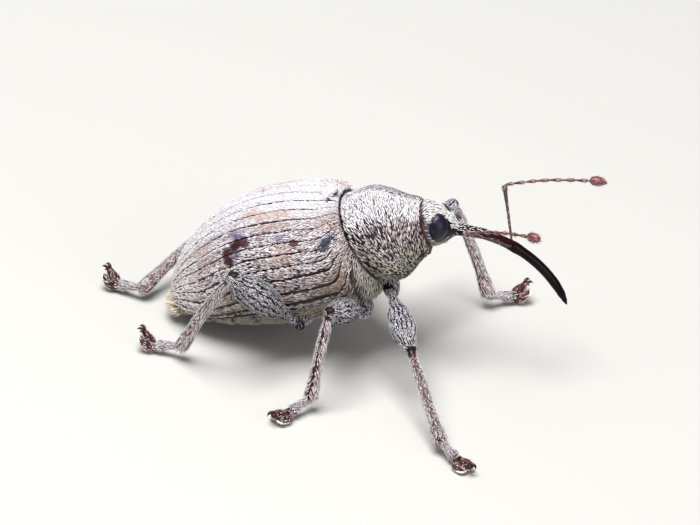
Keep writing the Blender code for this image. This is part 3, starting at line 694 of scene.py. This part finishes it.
HEAD_PLACE, HEAD_RADIUS, HEAD_DROOP = Vector((2.36, 0, -0.1)), 0.64, 24
HEAD_BACK, HEAD_RUN, NECK_FROM, NECK_LENGTH, NECK_RADIUS = -0.46, 1.34, 0.4, 0.42, 0.165
EYE_PLACE, EYE_BULGE, EYE_SET_IN = np.array((0.285, 0.53, 0.19)), 0.04, 0.07
EYE_HALF_ANGLES = np.radians((30, 41))


def turned(ahead, up=(0, 0, 1)):
    """Axes for a piece whose X runs along ahead and whose Z leans towards up."""
    forward = Vector(ahead).normalized()
    side = Vector(up).cross(forward).normalized()
    return np.array((forward, side, forward.cross(side)))


head_axes = turned(along_body(aim(0, -HEAD_DROOP)))
head_place = in_body(HEAD_PLACE)
eye_axes = turned(EYE_PLACE)


def head_form(share, turn):
    x = HEAD_BACK + HEAD_RUN * share
    ball = np.sqrt(np.maximum(0, (HEAD_RADIUS - COAT_DEPTH) ** 2 - np.minimum(x, NECK_FROM) ** 2))
    neck = ease([(0, 1), (1, 0)], np.clip((x - NECK_FROM) / NECK_LENGTH, 0, 1))
    ball = NECK_RADIUS + (ball - NECK_RADIUS) * neck ** 1.25
    angle = TAU * turn
    crown = np.maximum(0, np.cos(angle)) ** 2
    ball = ball + crown * (0.12 * np.exp(-((x + 0.3) / 0.25) ** 2) - 0.06 * np.exp(-((x - 0.36) / 0.16) ** 2))
    return head_place + np.stack((x, ball * np.sin(angle), ball * np.cos(angle)), 1) @ head_axes


def eye_share(local):
    """How far a direction from the head's middle lies from the left eye's middle, its rim being at 1."""
    way = (local / np.linalg.norm(local, axis=1, keepdims=True)) @ eye_axes.T
    off = np.arctan2(way[:, 1], way[:, 0]), np.arctan2(way[:, 2], way[:, 0])
    return np.hypot(off[0] / EYE_HALF_ANGLES[0], off[1] / EYE_HALF_ANGLES[1])


def head_keep(places, spot, draw):
    local = (places - head_place) @ head_axes.T
    wanted = local[:, 0] > -0.11 - 0.445 * local[:, 2]
    for side in SIDES.values():
        beside = local * (1, side, 1)
        wanted = wanted & (eye_share(beside) > 1.0) & (eye_share(beside + (0.08, 0, 0)) > 0.96)
    behind = 0.45 * np.exp(-((local[:, 2] - 0.05) / 0.25) ** 2) * (local[:, 0] < 0.15)
    root = 0.93 * ((local[:, 0] > 0.45) & (local[:, 2] < 0.12))
    return wanted & (draw.uniform(size=len(local)) > np.maximum(np.maximum(behind, root), 0.1))


# Face scales: white on the crown, slate blue beside the eyes and straw-coloured below
face_coat, tree, tone = start_coat("face_scales")
run, around = place_on(tree)
around = add(tree, "Math", {0: around, 1: 0.5}, operation="PINGPONG")
crown, cheek, throat = [paint(tree, dark, pale, tone) for dark, pale in
                        (("#e0d8d6", "#ffffff"), ("#3f4260", "#cfd0e2"), ("#8a8474", "#e6dfcc"))]
finish_material(tree, paint(tree, paint(tree, crown, cheek, around, 0.1, 0.2), throat, around, 0.27, 0.36))

head = wrap("head_capsule", 61, 65, head_form)
fit(head, head_skin, "scaled_cuticle", "head")
lay("head_scales", head, face_coat, "scaled_cuticle", 0.028, (0.115, 0.023),
    back_with(lambda s, d: 0.5 * ripple(s[:, 0] * 7, s[:, 1] * 12, 7)), 71, head_keep)


# Eyes. Each real one is a low oval dome of some hundreds of clear six-sided lenses over black pigment, set in
# a socket of the head capsule.

EYE_SHARES = np.unique(np.concatenate((np.linspace(0, 1, 31), [0.74, 0.78, 0.795, 0.81])))
EYE_FRONT = 0.8


def eye_form(side):
    def form(share, turn):
        front = np.minimum(share / EYE_FRONT, 1)
        rim = np.minimum(1, (1 - share) / (1 - EYE_FRONT))
        angle = TAU * turn
        off = [front * half * part for half, part in zip(EYE_HALF_ANGLES, (np.cos(angle), np.sin(angle)))]
        way = np.stack((np.ones(len(share)), np.tan(off[0]), np.tan(off[1])), 1)
        way /= np.linalg.norm(way, axis=1, keepdims=True)
        dome = (EYE_SET_IN + EYE_BULGE) * np.sqrt(1 - front ** 2.6)
        height = HEAD_RADIUS - EYE_SET_IN + dome - 0.12 * (1 - rim)
        local = way * (height * (1 - 0.25 * (1 - rim)))[:, None] @ eye_axes
        return head_place + (local * (1, side, 1)) @ head_axes

    return form


# The lenses are clear, hard and smooth chitin over dark pigment: black with a soft blue shine. They are
# 0.02 mm across, too fine to show, so they are drawn at 0.035 mm.
lens_cuticle, tree = start_material("eye_lenses", 0.3)
cells = {"Vector": add(tree, "TexCoord", {}, "Object"), "Scale": 28 / MM, "Randomness": 0.35}
lenses = add(tree, "TexVoronoi", cells, "Distance")
# The black pigment carries broad, slightly lighter blue-violet patches from a coarse noise: a painted
# reflection.
pigment_and_painted_reflection = paint(tree, "#0d0c13", "#201e2c", grain(tree, 1.5), 0.3, 0.7)
finish_material(tree, pigment_and_painted_reflection, lenses, 0.008, 0.5, invert=True)
tree.nodes["Principled BSDF"].inputs["Specular Tint"].default_value = linear("#c9c6ea")
for word, side in SIDES.items():
    eye = wrap("eye_dome_" + word, EYE_SHARES, 49, eye_form(side))
    fit(eye, lens_cuticle, "eye_cuticle", "eye_" + word)


# Snout. The real one is a hollow beak of hard, polished chitin, bent like a bow, with a pair of tiny jaws at
# its tip, and a groove on each side that takes the feeler's long joint. It is finely ridged towards the head.

SNOUT_LENGTH, SNOUT_BEND, SNOUT_RADIUS = 4.0, (-16, -84), 0.146
SNOUT_GIRTH = [(0, 1.25), (0.14, 1.03), (0.36, 0.98), (0.43, 1.08), (0.5, 0.96), (0.8, 0.92), (0.9, 0.78),
               (0.955, 0.52), (0.985, 0.26), (1, 0)]
SNOUT_STEPS, RIDGES = 110, 14
GAP = 0.12


def snout_path(count):
    """Points along the snout's middle line, in the body's frame."""
    point = HEAD_PLACE + aim(0, -HEAD_DROOP) * (HEAD_RADIUS - 0.06 + GAP)
    path = [point.copy()]
    for i in range(count):
        lift = SNOUT_BEND[0] + (SNOUT_BEND[1] - SNOUT_BEND[0]) * (i + 0.5) / count
        point = point + aim(0, lift) * SNOUT_LENGTH / count
        path.append(point.copy())
    return np.array(path)


def limb(name, path, radii, columns, flat=1.0, up=(0, 0, 1), relief=None, band=(0, 1)):
    """A closed tube along a path in millimetres. Turn 0.25 is its upper side, 0 and 0.5 are its flanks, and
    relief raises or lowers its skin by a share of the radius."""
    path, radii = np.asarray(path, float), np.asarray(radii, float)
    ahead = np.gradient(path, axis=0)
    ahead /= np.linalg.norm(ahead, axis=1, keepdims=True)
    side = np.cross(np.asarray(up, float), ahead)
    side /= np.linalg.norm(side, axis=1, keepdims=True)
    rise = np.cross(ahead, side)

    def form(share, turn):
        i = np.rint(share * (len(path) - 1)).astype(int)
        r = radii[i] * (1 if relief is None else 1 + relief(share, turn))
        a = TAU * turn
        return path[i] + side[i] * (np.cos(a) * r * flat)[:, None] + rise[i] * (np.sin(a) * r)[:, None]

    return wrap(name, len(path), columns + 1, form, band)


def snout_relief(share, turn):
    upper = np.sin(TAU * turn)
    ridges = 0.022 * np.cos(TAU * turn * RIDGES) * ease([(0, 1), (0.45, 0.7), (0.6, 0)], share)
    depth = 0.06 * ease([(0, 0.3), (0.1, 1), (0.4, 1), (0.44, 0), (1, 0)], share)
    return ridges - depth * np.exp(-((upper + 0.42) / 0.16) ** 2)


def snout_keep(places, spot, draw):
    upper = np.clip(0.25 + 0.8 * np.sin(TAU * spot[:, 1]), 0, 1)
    chance = ease([(0, 0.9), (0.1, 0.75), (0.2, 0.35), (0.3, 0.0), (1, 0)], spot[:, 0]) * upper
    return draw.uniform(size=len(upper)) < chance


# Chitin without scales, worn to a polish by boring: black with a tinge of mahogany in its middle
beak, tree = start_material("polished_mahogany_chitin", 0.16, 0.12)
run, around = place_on(tree)
made = paint(tree, paint(tree, "#050304", "#210809", run, 0.1, 0.26), "#060204", run, 0.34, 0.5)
made = paint(tree, made, "#1c060d", grain(tree, 1.2), 0.42, 0.66, 0, 0.6)
finish_material(tree, made, grain(tree, 14.0), 0.006, 0.5)
tree.links.new(step(tree, run, 0.2, 0.5, 0.3, 0.15), tree.nodes["Principled BSDF"].inputs["Roughness"])

radii = SNOUT_RADIUS * ease(SNOUT_GIRTH, np.linspace(0, 1, SNOUT_STEPS + 1))
snout = limb("snout", in_body(snout_path(SNOUT_STEPS)), radii, 56, relief=snout_relief)
fit(snout, beak, "bare_cuticle", "rostrum")
lay("snout_scales", snout, pale_coat, "scaled_cuticle", 0.034, (0.095, 0.016),
    back_with(lambda s, d: 0 * s[:, 0]), 81, snout_keep, lift=0.2)


# Feelers. Each real one is an elbowed row of tiny reddish cups of chitin: a long first joint that hinges in
# the snout's side, seven beads and a felted club of four joints. Pale hairs stand in a ring round each bead.

FEELER_AT = 0.42
SCAPE_LENGTH, FUNICLE_LENGTH, CLUB_LENGTH = 1.4, 1.95, 0.54
SOLID_RADIUS, ROOT_AT_SIDE = 0.22, 0.23
BEAD_RADIUS, CLUB_RADIUS = 0.052, 0.142
FUNICLE_BEADS, BEAD_CROWDING, RING_AT = 7, 0.88, 0.7
SCAPE_BAND, FUNICLE_BAND, CLUB_BAND = (0, 0.3), (0.3, 0.86), (0.88, 1)
ELBOWS = {
    "left": ((4.39, 0.95, 0.11), (6.79, 1.1, -0.15)),
    "right": ((3.32, -0.95, 0.03), (5.354, -2.084, 0.11)),
}
HAIR_SHAPE = SCALE_SHAPE * (1, 1, 1.6)


def standoff(before, after, radius, next_radius):
    """How far from a joint the next piece starts, so that its end face stays clear of the piece before it."""
    bend = before.angle(after)
    beside = (radius + GAP - next_radius * math.cos(bend)) / max(0.01, math.sin(bend))
    if math.cos(bend) < 0.05:
        return beside
    return min(beside, (GAP + next_radius * math.sin(bend)) / math.cos(bend))


def rounded(count, length, near, far):
    """Shares of a length, crowded at its ends, and how round caps of two depths thin it there."""
    share = (1 - np.cos(math.pi * np.arange(count + 1) / count)) / 2
    cap = np.sqrt(np.clip(1 - (1 - np.minimum(1, share * length / near)) ** 2, 0, 1))
    return share, cap * np.sqrt(np.clip(1 - (1 - np.minimum(1, (1 - share) * length / far)) ** 2, 0, 1))


def join(pieces, name):
    bpy.ops.object.select_all(action="DESELECT")
    for piece in pieces:
        piece.select_set(True)
    bpy.context.view_layer.objects.active = pieces[0]
    bpy.ops.object.join()
    pieces[0].name = pieces[0].data.name = name
    return pieces[0]


def feeler_keep(places, spot, draw):
    """Hairs stand round each bead's widest ring, on the elbow and on the club, and thinly in between."""
    share = (spot[:, 0] - FUNICLE_BAND[0]) / (FUNICLE_BAND[1] - FUNICLE_BAND[0])
    bead = np.clip(share, 0, 1) ** BEAD_CROWDING * FUNICLE_BEADS % 1
    beads = 0.08 + 0.5 * (np.abs(bead - 0.68) < 0.16)
    wanted = np.where(share < 0, 0.28 + 0.6 * (share > -0.12), np.where(share > 1, 0.5, beads))
    return draw.uniform(size=len(share)) < wanted


# Thin chitin, red-brown and a little glossy, with a paler, hairy ring on each bead and a redder club
feeler_skin, tree = start_material("red_brown_feeler_chitin", 0.32)
run, around = place_on(tree)
made = paint(tree, "#35191b", "#74463f", grain(tree, 5.0), 0.35, 0.65)
made = paint(tree, "#412a30", made, run, 0.26, 0.3)
beads_run = FUNICLE_BAND[1] - FUNICLE_BAND[0]
bead = {0: run, 1: 1 / beads_run, 2: -FUNICLE_BAND[0] / beads_run}
bead = add(tree, "Math", bead, operation="MULTIPLY_ADD", use_clamp=True)
to_ring = (("POWER", BEAD_CROWDING), ("MULTIPLY", FUNICLE_BEADS), ("FRACT", 0), ("SUBTRACT", RING_AT),
           ("ABSOLUTE", 0))
for operation, value in to_ring:
    bead = add(tree, "Math", {0: bead, 1: value}, operation=operation)
made = paint(tree, made, "#86655c", bead, 0.08, 0.2, 0.45, 0)
club_tone = paint(tree, "#5c292c", "#84494b", grain(tree, 6.0), 0.35, 0.65)
made = paint(tree, made, paint(tree, club_tone, "#4a1f24", run, 0.96, 1), run, 0.86, 0.9)
finish_material(tree, made, grain(tree, 30.0), 0.004)

# Fine hairs, nearly clear, so that they look white on the beads and reddish where they felt the club
down_coat, tree, tone = start_coat("pale_hair", 0.5)
run, around = place_on(tree)
made, felt = paint(tree, "#b8a7a8", "#faf2f4", tone), paint(tree, "#8d6062", "#c9a9ab", tone)
finish_material(tree, paint(tree, made, felt, run, 0.86, 0.9))


def bowed(start, end, share, sag):
    """A path between two places that bows up by a sag in its middle."""
    straight = np.array(start)[None] * (1 - share)[:, None] + np.array(end)[None] * share[:, None]
    return straight + np.sin(math.pi * share)[:, None] * np.array((0, 0, sag))


for word, side in SIDES.items():
    elbow, funicle_end = (Vector(in_body(p)) for p in ELBOWS[word])
    spot = snout_path(20)[round(20 * FEELER_AT)]
    socket = Vector(in_body(spot + (0, side * SNOUT_RADIUS * 0.7, 0.02)))
    root = Vector(in_body(spot + (0, side * (ROOT_AT_SIDE + GAP + SOLID_RADIUS), 0.05)))
    scape_aim = (elbow - root).normalized()
    elbow_at = root + scape_aim * SCAPE_LENGTH
    funicle_aim = (funicle_end - elbow_at).normalized()
    start = elbow_at + funicle_aim * standoff(scape_aim, funicle_aim, SOLID_RADIUS, SOLID_RADIUS * 0.8)
    club_at = start + funicle_aim * (FUNICLE_LENGTH + GAP * 0.3)
    share, cap = rounded(40, SCAPE_LENGTH, 0.05, 0.06)
    girth = ease([(0, 0.05), (0.06, 0.034), (0.55, 0.04), (0.86, 0.055), (0.94, 0.085), (1, 0.08)], share)
    scape = limb("scape", bowed(socket, elbow_at, share, 0.03), girth * cap, 16, band=SCAPE_BAND)
    share = np.linspace(0, 1, 12 * FUNICLE_BEADS + 1)
    bead = share ** BEAD_CROWDING * FUNICLE_BEADS % 1
    cup = BEAD_RADIUS * ease([(0, 0.5), (0.2, 0.56), (0.72, 1.0), (0.92, 0.8), (1, 0.5)], bead)
    cup[[0, -1]] = 0
    path = bowed(elbow_at, club_at, share, 0.08)
    funicle = limb("funicle", path, cup * (1 + 0.1 * share), 16, band=FUNICLE_BAND)
    share, cap = rounded(44, CLUB_LENGTH, 0.12, 0.2)
    rings = 1 - 0.12 * sum(np.exp(-((share - at) / 0.02) ** 2) for at in (0.3, 0.52, 0.74))
    girth = CLUB_RADIUS * ease([(0, 0.4), (0.3, 0.95), (0.5, 1), (0.75, 0.8), (1, 0.3)], share) * rings
    path = np.array(club_at)[None] + share[:, None] * CLUB_LENGTH * np.array(funicle_aim)[None]
    path = path - (share ** 2)[:, None] * np.array((0, 0, 0.12))
    club = limb("club", path, girth * cap, 24, band=CLUB_BAND)
    feeler = join([scape, funicle, club], "feeler_" + word)
    fit(feeler, feeler_skin, "feeler_cuticle", "scape_" + word, "funicle_" + word, "club_" + word)
    lay("feeler_hairs_" + word, feeler, down_coat, "feeler_cuticle", 0.03, (0.075, 0.012),
        back_with(lambda s, d: 0 * s[:, 0]), 91 + side, feeler_keep, lift=0.5, shape=HAIR_SHAPE)


# Legs. Each real one is a hip, a small dark ring, a club-shaped thigh with a tooth under it, a slim shin that
# widens to the ankle, and a foot: two cones, a pad of two lobes with a white felted sole, and two claws.

THIGH_RADII = {"front": 0.41, "middle": 0.41, "hind": 0.47}
FOOT_RADIUS, ANKLE_HEIGHT = 0.235, 0.37
# hip in the body's frame, thigh's length, heading and lift, shin's length and heading, foot's heading and lift
LEGS = {
    "front_right": ((0.83, -0.6, -1.5), 2.68, -67, -11, 2.97, -60, -42, 0),
    "front_left": ((0.83, 0.6, -1.5), 2.89, 64, 16, 3.02, -4, 37, 35),
    "middle_right": ((0.1, -1.0, -1.86), 2.54, -108, 23, 2.50, -105, -130, 5),
    "middle_left": ((0.1, 1.0, -1.86), 2.62, 118, 15, 2.62, 125, 150, 5),
    "hind_right": ((-1.68, -1.5, -1.79), 3.27, -138, 41, 3.37, 146, 168, 40),
    "hind_left": ((-1.82, 1.5, -1.79), 3.4, 150, 3, 3.25, -122, 155, 40),
}
# each hip joint's place inward from the hip, and half sizes
COXAE = {
    "front": ((0.02, 0.2, 0.02), (0.28, 0.33, 0.46)),
    "middle": ((-0.06, 0.12, 0.04), (0.32, 0.34, 0.34)),
    "hind": ((0.05, 0.38, 0.14), (0.36, 0.5, 0.3)),
}
COXA_BAND, RING_BAND, FEMUR_BAND = (0, 0.27), (0.29, 0.35), (0.36, 1)
RING_RADIUS = 0.135
THIGH_GIRTH = [(0, 0.25), (0.12, 0.27), (0.25, 0.46), (0.42, 0.86), (0.58, 1), (0.66, 0.99), (0.88, 0.62),
               (0.97, 0.47), (1, 0.44)]
SHIN_GIRTH = [(0, 0.12), (0.04, 0.13), (0.08, 0.105), (0.2, 0.14), (0.7, 0.15), (0.93, 0.2), (1, 0.2)]
TOE_AT = (0.5, 0, -0.2)
# second joint, lobe, claw joint, claw and its tooth: radii, flatness, columns, start and width of each band,
# and three points, those of a pair being the left one's
FOOT_JOINTS = [
    ((0.09, 0.12, 0.16), 1.2, 20, 0.3, 0.2, ((0.26, 0, -0.1), (0.38, 0, -0.15), (0.54, 0, -0.19))),
    ((0.1, 0.14, 0.09), 1.1, 16, 0.5, 0.1, ((-0.03, 0.06, 0), (0.18, 0.14, -0.02), (0.44, 0.15, 0.02))),
    ((0.07, 0.08, 0.095), 1.0, 16, 0.7, 0.15, ((0.08, 0, 0.02), (0.3, 0, 0.1), (0.5, 0, 0.14))),
    ((0.055, 0.042, 0.008), 1, 10, 0.86, 0.04, ((0.47, 0.03, 0.14), (0.61, 0.08, 0.16), (0.67, 0.09, 0.04))),
    ((0.035, 0.024, 0.006), 1, 8, 0.94, 0.03, ((0.49, 0.04, 0.11), (0.54, 0.05, 0.07), (0.56, 0.05, 0.02))),
]
FOOT_HAIRS = [(0, 0.97), (0.27, 0.95), (0.31, 0.7), (0.42, 0.4), (0.5, 0.2), (0.7, 0.25), (0.84, 0.1),
              (0.85, 0), (1, 0)]

# Chitin again, brown-black on the thigh, and bare and darkest at the hip's ring and the knee
thigh_skin, tree = start_material("grey_brown_thigh_chitin", 0.55, 0.2)
run, around = place_on(tree)
made = paint(tree, "#100c12", "#2c262e", grain(tree, 9.0), 0.4, 0.6)
made = paint(tree, "#171019", made, run, 0.36, 0.46)
finish_material(tree, paint(tree, made, "#15050a", run, 0.88, 0.9))

# Thinner chitin, red-brown, with a darker line along the top of the shin and a dark knee
shin_skin, tree = start_material("red_brown_shin_chitin", 0.38, 0.3)
run, around = place_on(tree)
line = add(tree, "Math", {0: around, 1: 0.25}, operation="SUBTRACT")
line = add(tree, "Math", {0: line}, operation="ABSOLUTE")
uneven = add(tree, "Math", {0: grain(tree, 6.0), 1: 0.1, 2: -0.05}, operation="MULTIPLY_ADD")
line = add(tree, "Math", {0: line, 1: uneven}, operation="ADD")
made = paint(tree, "#451a1a", "#7b4339", grain(tree, 7.0), 0.4, 0.6)
made = paint(tree, "#33100f", made, line, 0.04, 0.14)
finish_material(tree, paint(tree, "#17070b", made, run, 0.13, 0.2))

# The same on the foot, violet-grey on its first joint and nearly black on the claws
foot_skin, tree = start_material("red_brown_foot_chitin", 0.36, 0.3)
run, around = place_on(tree)
made = paint(tree, "#2a1012", "#54302b", grain(tree, 7.0), 0.4, 0.6)
made = paint(tree, "#6d5c66", made, run, 0.24, 0.33)
finish_material(tree, paint(tree, made, "#2c0d0c", run, 0.84, 0.9))

# The soles are a dense felt of clinging hairs, matt and off-white
sole_felt, tree = start_material("white_felted_sole", 0.8)
finish_material(tree, paint(tree, "#b8a48f", "#f2e8da", grain(tree, 12.0), 0.35, 0.65))

# Fine chalky scales on the thigh, and clearer hairs on shin and foot, tan at the shin's end
thigh_coat, tree, tone = start_coat("grey_thigh_scales")
made = paint(tree, "#918d9c", "#fdfaff", tone)
finish_material(tree, paint(tree, made, "#b5aa98", grain(tree, 1.2), 0.5, 0.7, 0, 0.4))
shin_coat, tree, tone = start_coat("pale_shin_hairs", 0.5)
run, around = place_on(tree)
finish_material(tree, paint(tree, paint(tree, "#a99da3", "#fbf6f8", tone), "#c98f66", run, 0.93, 0.99))


def thigh_relief(share, turn):
    """The tooth under the thigh."""
    return 0.62 * np.exp(-((share - 0.71) / 0.035) ** 2) * np.exp(-(np.abs(turn - 0.75) / 0.055) ** 2)


def flank(turn):
    """How near a turn is to a limb's flanks, from 0 on its upper and under side to 1."""
    return np.abs(np.cos(TAU * turn))


def thigh_keep(places, spot, draw):
    x = spot[:, 0]
    knee = (x > 0.9) & (np.abs(spot[:, 1] - 0.25) < 0.2)
    bare = ((x > 0.28) & (x < 0.42) & (draw.uniform(size=len(x)) < 0.72)) | knee | (x > 0.965)
    line = np.abs((spot[:, 1] * 15 + 0.5 * ripple(x * 14, spot[:, 1] * 5, 14)) % 1 - 0.5)
    return ~bare & ((line > 0.13) | (x < 0.28)) & (draw.uniform(size=len(x)) < 0.93)


def shin_keep(places, spot, draw):
    edge = flank(spot[:, 1])
    dashes = np.abs((spot[:, 0] * 27 + 1.6 * edge) % 1 - 0.5)
    wanted = np.where(dashes < 0.2, np.where(edge < 0.72, 0.08, 0.5), 0.93)
    knee = (spot[:, 0] < 0.08) | ((spot[:, 0] < 0.18) & (np.abs(spot[:, 1] - 0.25) < 0.16))
    return (draw.uniform(size=len(wanted)) < wanted) & ~knee


def shin_lie(places, spot, draw):
    inward = np.sign(np.sin(4 * math.pi * (spot[:, 1] - 0.25)))
    return np.ones(len(inward)), 0.45 * inward * (1 - 0.6 * flank(spot[:, 1]))


def foot_joint(points, radii, flat, columns, band, place, axes):
    """A rounded joint along a bow through three points."""
    a, b, c = np.array(points, float)
    share, cap = rounded(20, np.linalg.norm(c - a), 0.05, 0.05)
    s = share[:, None]
    path = a * (1 - s) * (1 - 2 * s) + 4 * b * s * (1 - s) + c * s * (2 * s - 1)
    girth = ease([(0, radii[0]), (0.5, radii[1]), (1, radii[2])], share)
    return limb("joint", place + path @ axes, cap * girth, columns, flat, band=band)


for number, (name, leg) in enumerate(LEGS.items()):
    hip, thigh_length, heading, lift, shin_length, shin_heading, foot_heading, toe_lift = leg
    pair, word = name.split("_")
    hip_at = np.array(in_body(hip))
    ahead = aim(heading, lift)
    inward, half_sizes = COXAE[pair]
    centre = hip_at + np.array(along_body((inward[0], -SIDES[word] * inward[1], inward[2])))
    across = np.array(along_body((0, SIDES[word] * 0.5, -1)).normalized())
    share, cap = rounded(28, 2, 1, 1)
    path = centre + (share * 2 - 1)[:, None] * across * half_sizes[2] * 1.05
    cap = cap * (half_sizes[0] - COAT_DEPTH)
    coxa = limb("coxa", path, cap, 28, up=along_body((1, 0, 0)), band=COXA_BAND)
    share, cap = rounded(20, 0.4, 0.16, 0.16)
    path = hip_at + (share * 0.42 - 0.16)[:, None] * np.array(ahead)
    ring = limb("ring", path, cap * RING_RADIUS, 20, band=RING_BAND)
    share, cap = rounded(72, thigh_length, 0.12, 0.16)
    path = hip_at + (share * (thigh_length + 0.06) + 0.05)[:, None] * np.array(ahead)
    girth = cap * ease(THIGH_GIRTH, share) * (THIGH_RADII[pair] - COAT_DEPTH)
    femur = limb("femur", path, girth, 40, 0.94, relief=thigh_relief, band=FEMUR_BAND)
    thigh = join([coxa, ring, femur], "thigh_" + name)
    fit(thigh, thigh_skin, "leg_cuticle", "femur_" + name)
    lay("thigh_scales_" + name, thigh, thigh_coat, "leg_cuticle", 0.0265, (0.093, 0.0175),
        back_with(lambda s, d: 0.12 * ripple(s[:, 0] * 12, s[:, 1] * 9, 4)), 100 + number, thigh_keep)

    knee = Vector(hip_at) + ahead * thigh_length
    down = aim(shin_heading, -math.degrees(math.asin((knee.z - ANKLE_HEIGHT) / shin_length)))
    ankle = knee + down * shin_length
    share, cap = rounded(64, shin_length, 0.1, 0.09)
    bow = 0.07 * np.sin(math.pi * share) - 0.05 * np.exp(-(share / 0.05) ** 2)
    path = np.array(knee) + (share * shin_length)[:, None] * np.array(down) + bow[:, None] * np.array(ahead)
    shin = limb("shin_" + name, path, cap * ease(SHIN_GIRTH, share), 28, 0.9, up=ahead)
    fit(shin, shin_skin, "leg_cuticle", "tibia_" + name)
    lay("shin_hairs_" + name, shin, shin_coat, "leg_cuticle", 0.028, (0.12, 0.018), shin_lie, 120 + number,
        shin_keep, lift=0.24, size_at=lambda p, s: 1 + 0.5 * (s[:, 0] > 0.94) + 0.3 * (flank(s[:, 1]) > 0.8))

    forward = aim(foot_heading, 0)
    reach = standoff(down, forward, 0.24, FOOT_RADIUS * 0.72)
    heel = np.array(ankle + forward * reach)
    axes, toe_axes = turned(forward), turned(aim(foot_heading, toe_lift))
    toe_at = heel + np.array(TOE_AT) @ axes
    first = ((-reach - 0.02, 0, 0.02), (0.02, 0, -0.03), (0.34, 0, -0.13))
    parts = [foot_joint(first, (0.08, 0.11, 0.16), 1.0, 20, (0, 0.3), heel, axes)]
    for radii, flat, columns, band, width, points in FOOT_JOINTS:
        place, toward = (heel, axes) if band < 0.5 else (toe_at, toe_axes)
        for side in (1, -1) if points[0][1] else (1,):
            mirrored = np.array(points) * (1, side, 1)
            parts.append(foot_joint(mirrored, radii, flat, columns, (band, band + width), place, toward))
            band += width
    foot = join(parts, "foot_" + name)
    fit(foot, foot_skin, "leg_cuticle", "tarsus_" + name)
    pads = []
    for lobe in (1, -1):
        share, cap = rounded(20, 0.5, 0.14, 0.14)
        path = np.stack((-0.01 + 0.5 * share, lobe * (0.09 + 0.07 * share), -0.115 + 0.07 * share ** 2), 1)
        pads.append(limb("pad", toe_at + path @ toe_axes, cap * 0.05, 16, 3.1, up=Vector(toe_axes[2]),
                         band=(0, 0.5) if lobe == 1 else (0.5, 1)))
    fit(join(pads, "sole_" + name), sole_felt, "leg_cuticle")
    lay("foot_hairs_" + name, foot, shin_coat, "leg_cuticle", 0.028, (0.1, 0.017),
        back_with(lambda s, d: 0.2 * d.normal(size=len(s))), 140 + number,
        lambda p, s, d: d.uniform(size=len(s)) < ease(FOOT_HAIRS, s[:, 0]), lift=0.25)


# Camera, floor and light. A plain studio: pale paper under the model, a soft window of light above it and a
# weak one in front.

AZIMUTH, ELEVATION, ROLL = (math.radians(angle) for angle in (6, 30, 5.5))
TARGET, TARGET_RIGHT, TARGET_UP = (0.2, 0.66, 0), 0.306, 2.18
DISTANCE, SENSOR, PICTURE_WIDTH = 400, 36, 700 / 36
LAMPS = (("key", (-0.02, -0.02, 0.12), 0.31), ("fill", (0.09, -0.08, 0.05), 0.05))

level = Vector((math.cos(AZIMUTH), math.sin(AZIMUTH), 0))
back = Vector((level.y, -level.x, 0)) * math.cos(ELEVATION) + Vector((0, 0, math.sin(ELEVATION)))
rise = back.cross(level)
right = level * math.cos(ROLL) + rise * math.sin(ROLL)
top = rise * math.cos(ROLL) - level * math.sin(ROLL)
bpy.ops.object.camera_add()
camera = bpy.context.object
target = (Vector(TARGET) + right * TARGET_RIGHT + top * TARGET_UP) * MM
frame_of_camera = Matrix((right, top, back)).transposed().to_4x4()
camera.matrix_world = Matrix.Translation(target + back * DISTANCE * MM) @ frame_of_camera
camera.data.sensor_width = SENSOR
camera.data.lens = SENSOR * DISTANCE / PICTURE_WIDTH
camera.data.clip_start, camera.data.clip_end = 0.005, 2
bpy.context.scene.camera = camera

bpy.ops.mesh.primitive_plane_add(size=1.2)
floor = bpy.context.object
floor.name = "floor"
paper, tree = start_material("pale_paper", 0.9)
tree.nodes["Principled BSDF"].inputs["Base Color"].default_value = linear("#b3b2ae")
floor.data.materials.append(paper)

world = bpy.data.worlds.new("studio")
bpy.context.scene.world = world
world.use_nodes = True
world.node_tree.nodes["Background"].inputs["Color"].default_value = linear("#eef1f5")
world.node_tree.nodes["Background"].inputs["Strength"].default_value = 0.34
for name, place, power in LAMPS:
    bpy.ops.object.light_add(type="AREA", location=place)
    lamp = bpy.context.object
    lamp.name = name
    lamp.data.size = 0.08
    lamp.data.energy = power
    lamp.rotation_euler = (-Vector(place)).to_track_quat("-Z", "Y").to_euler()
bpy.context.scene.view_settings.view_transform = "Standard"
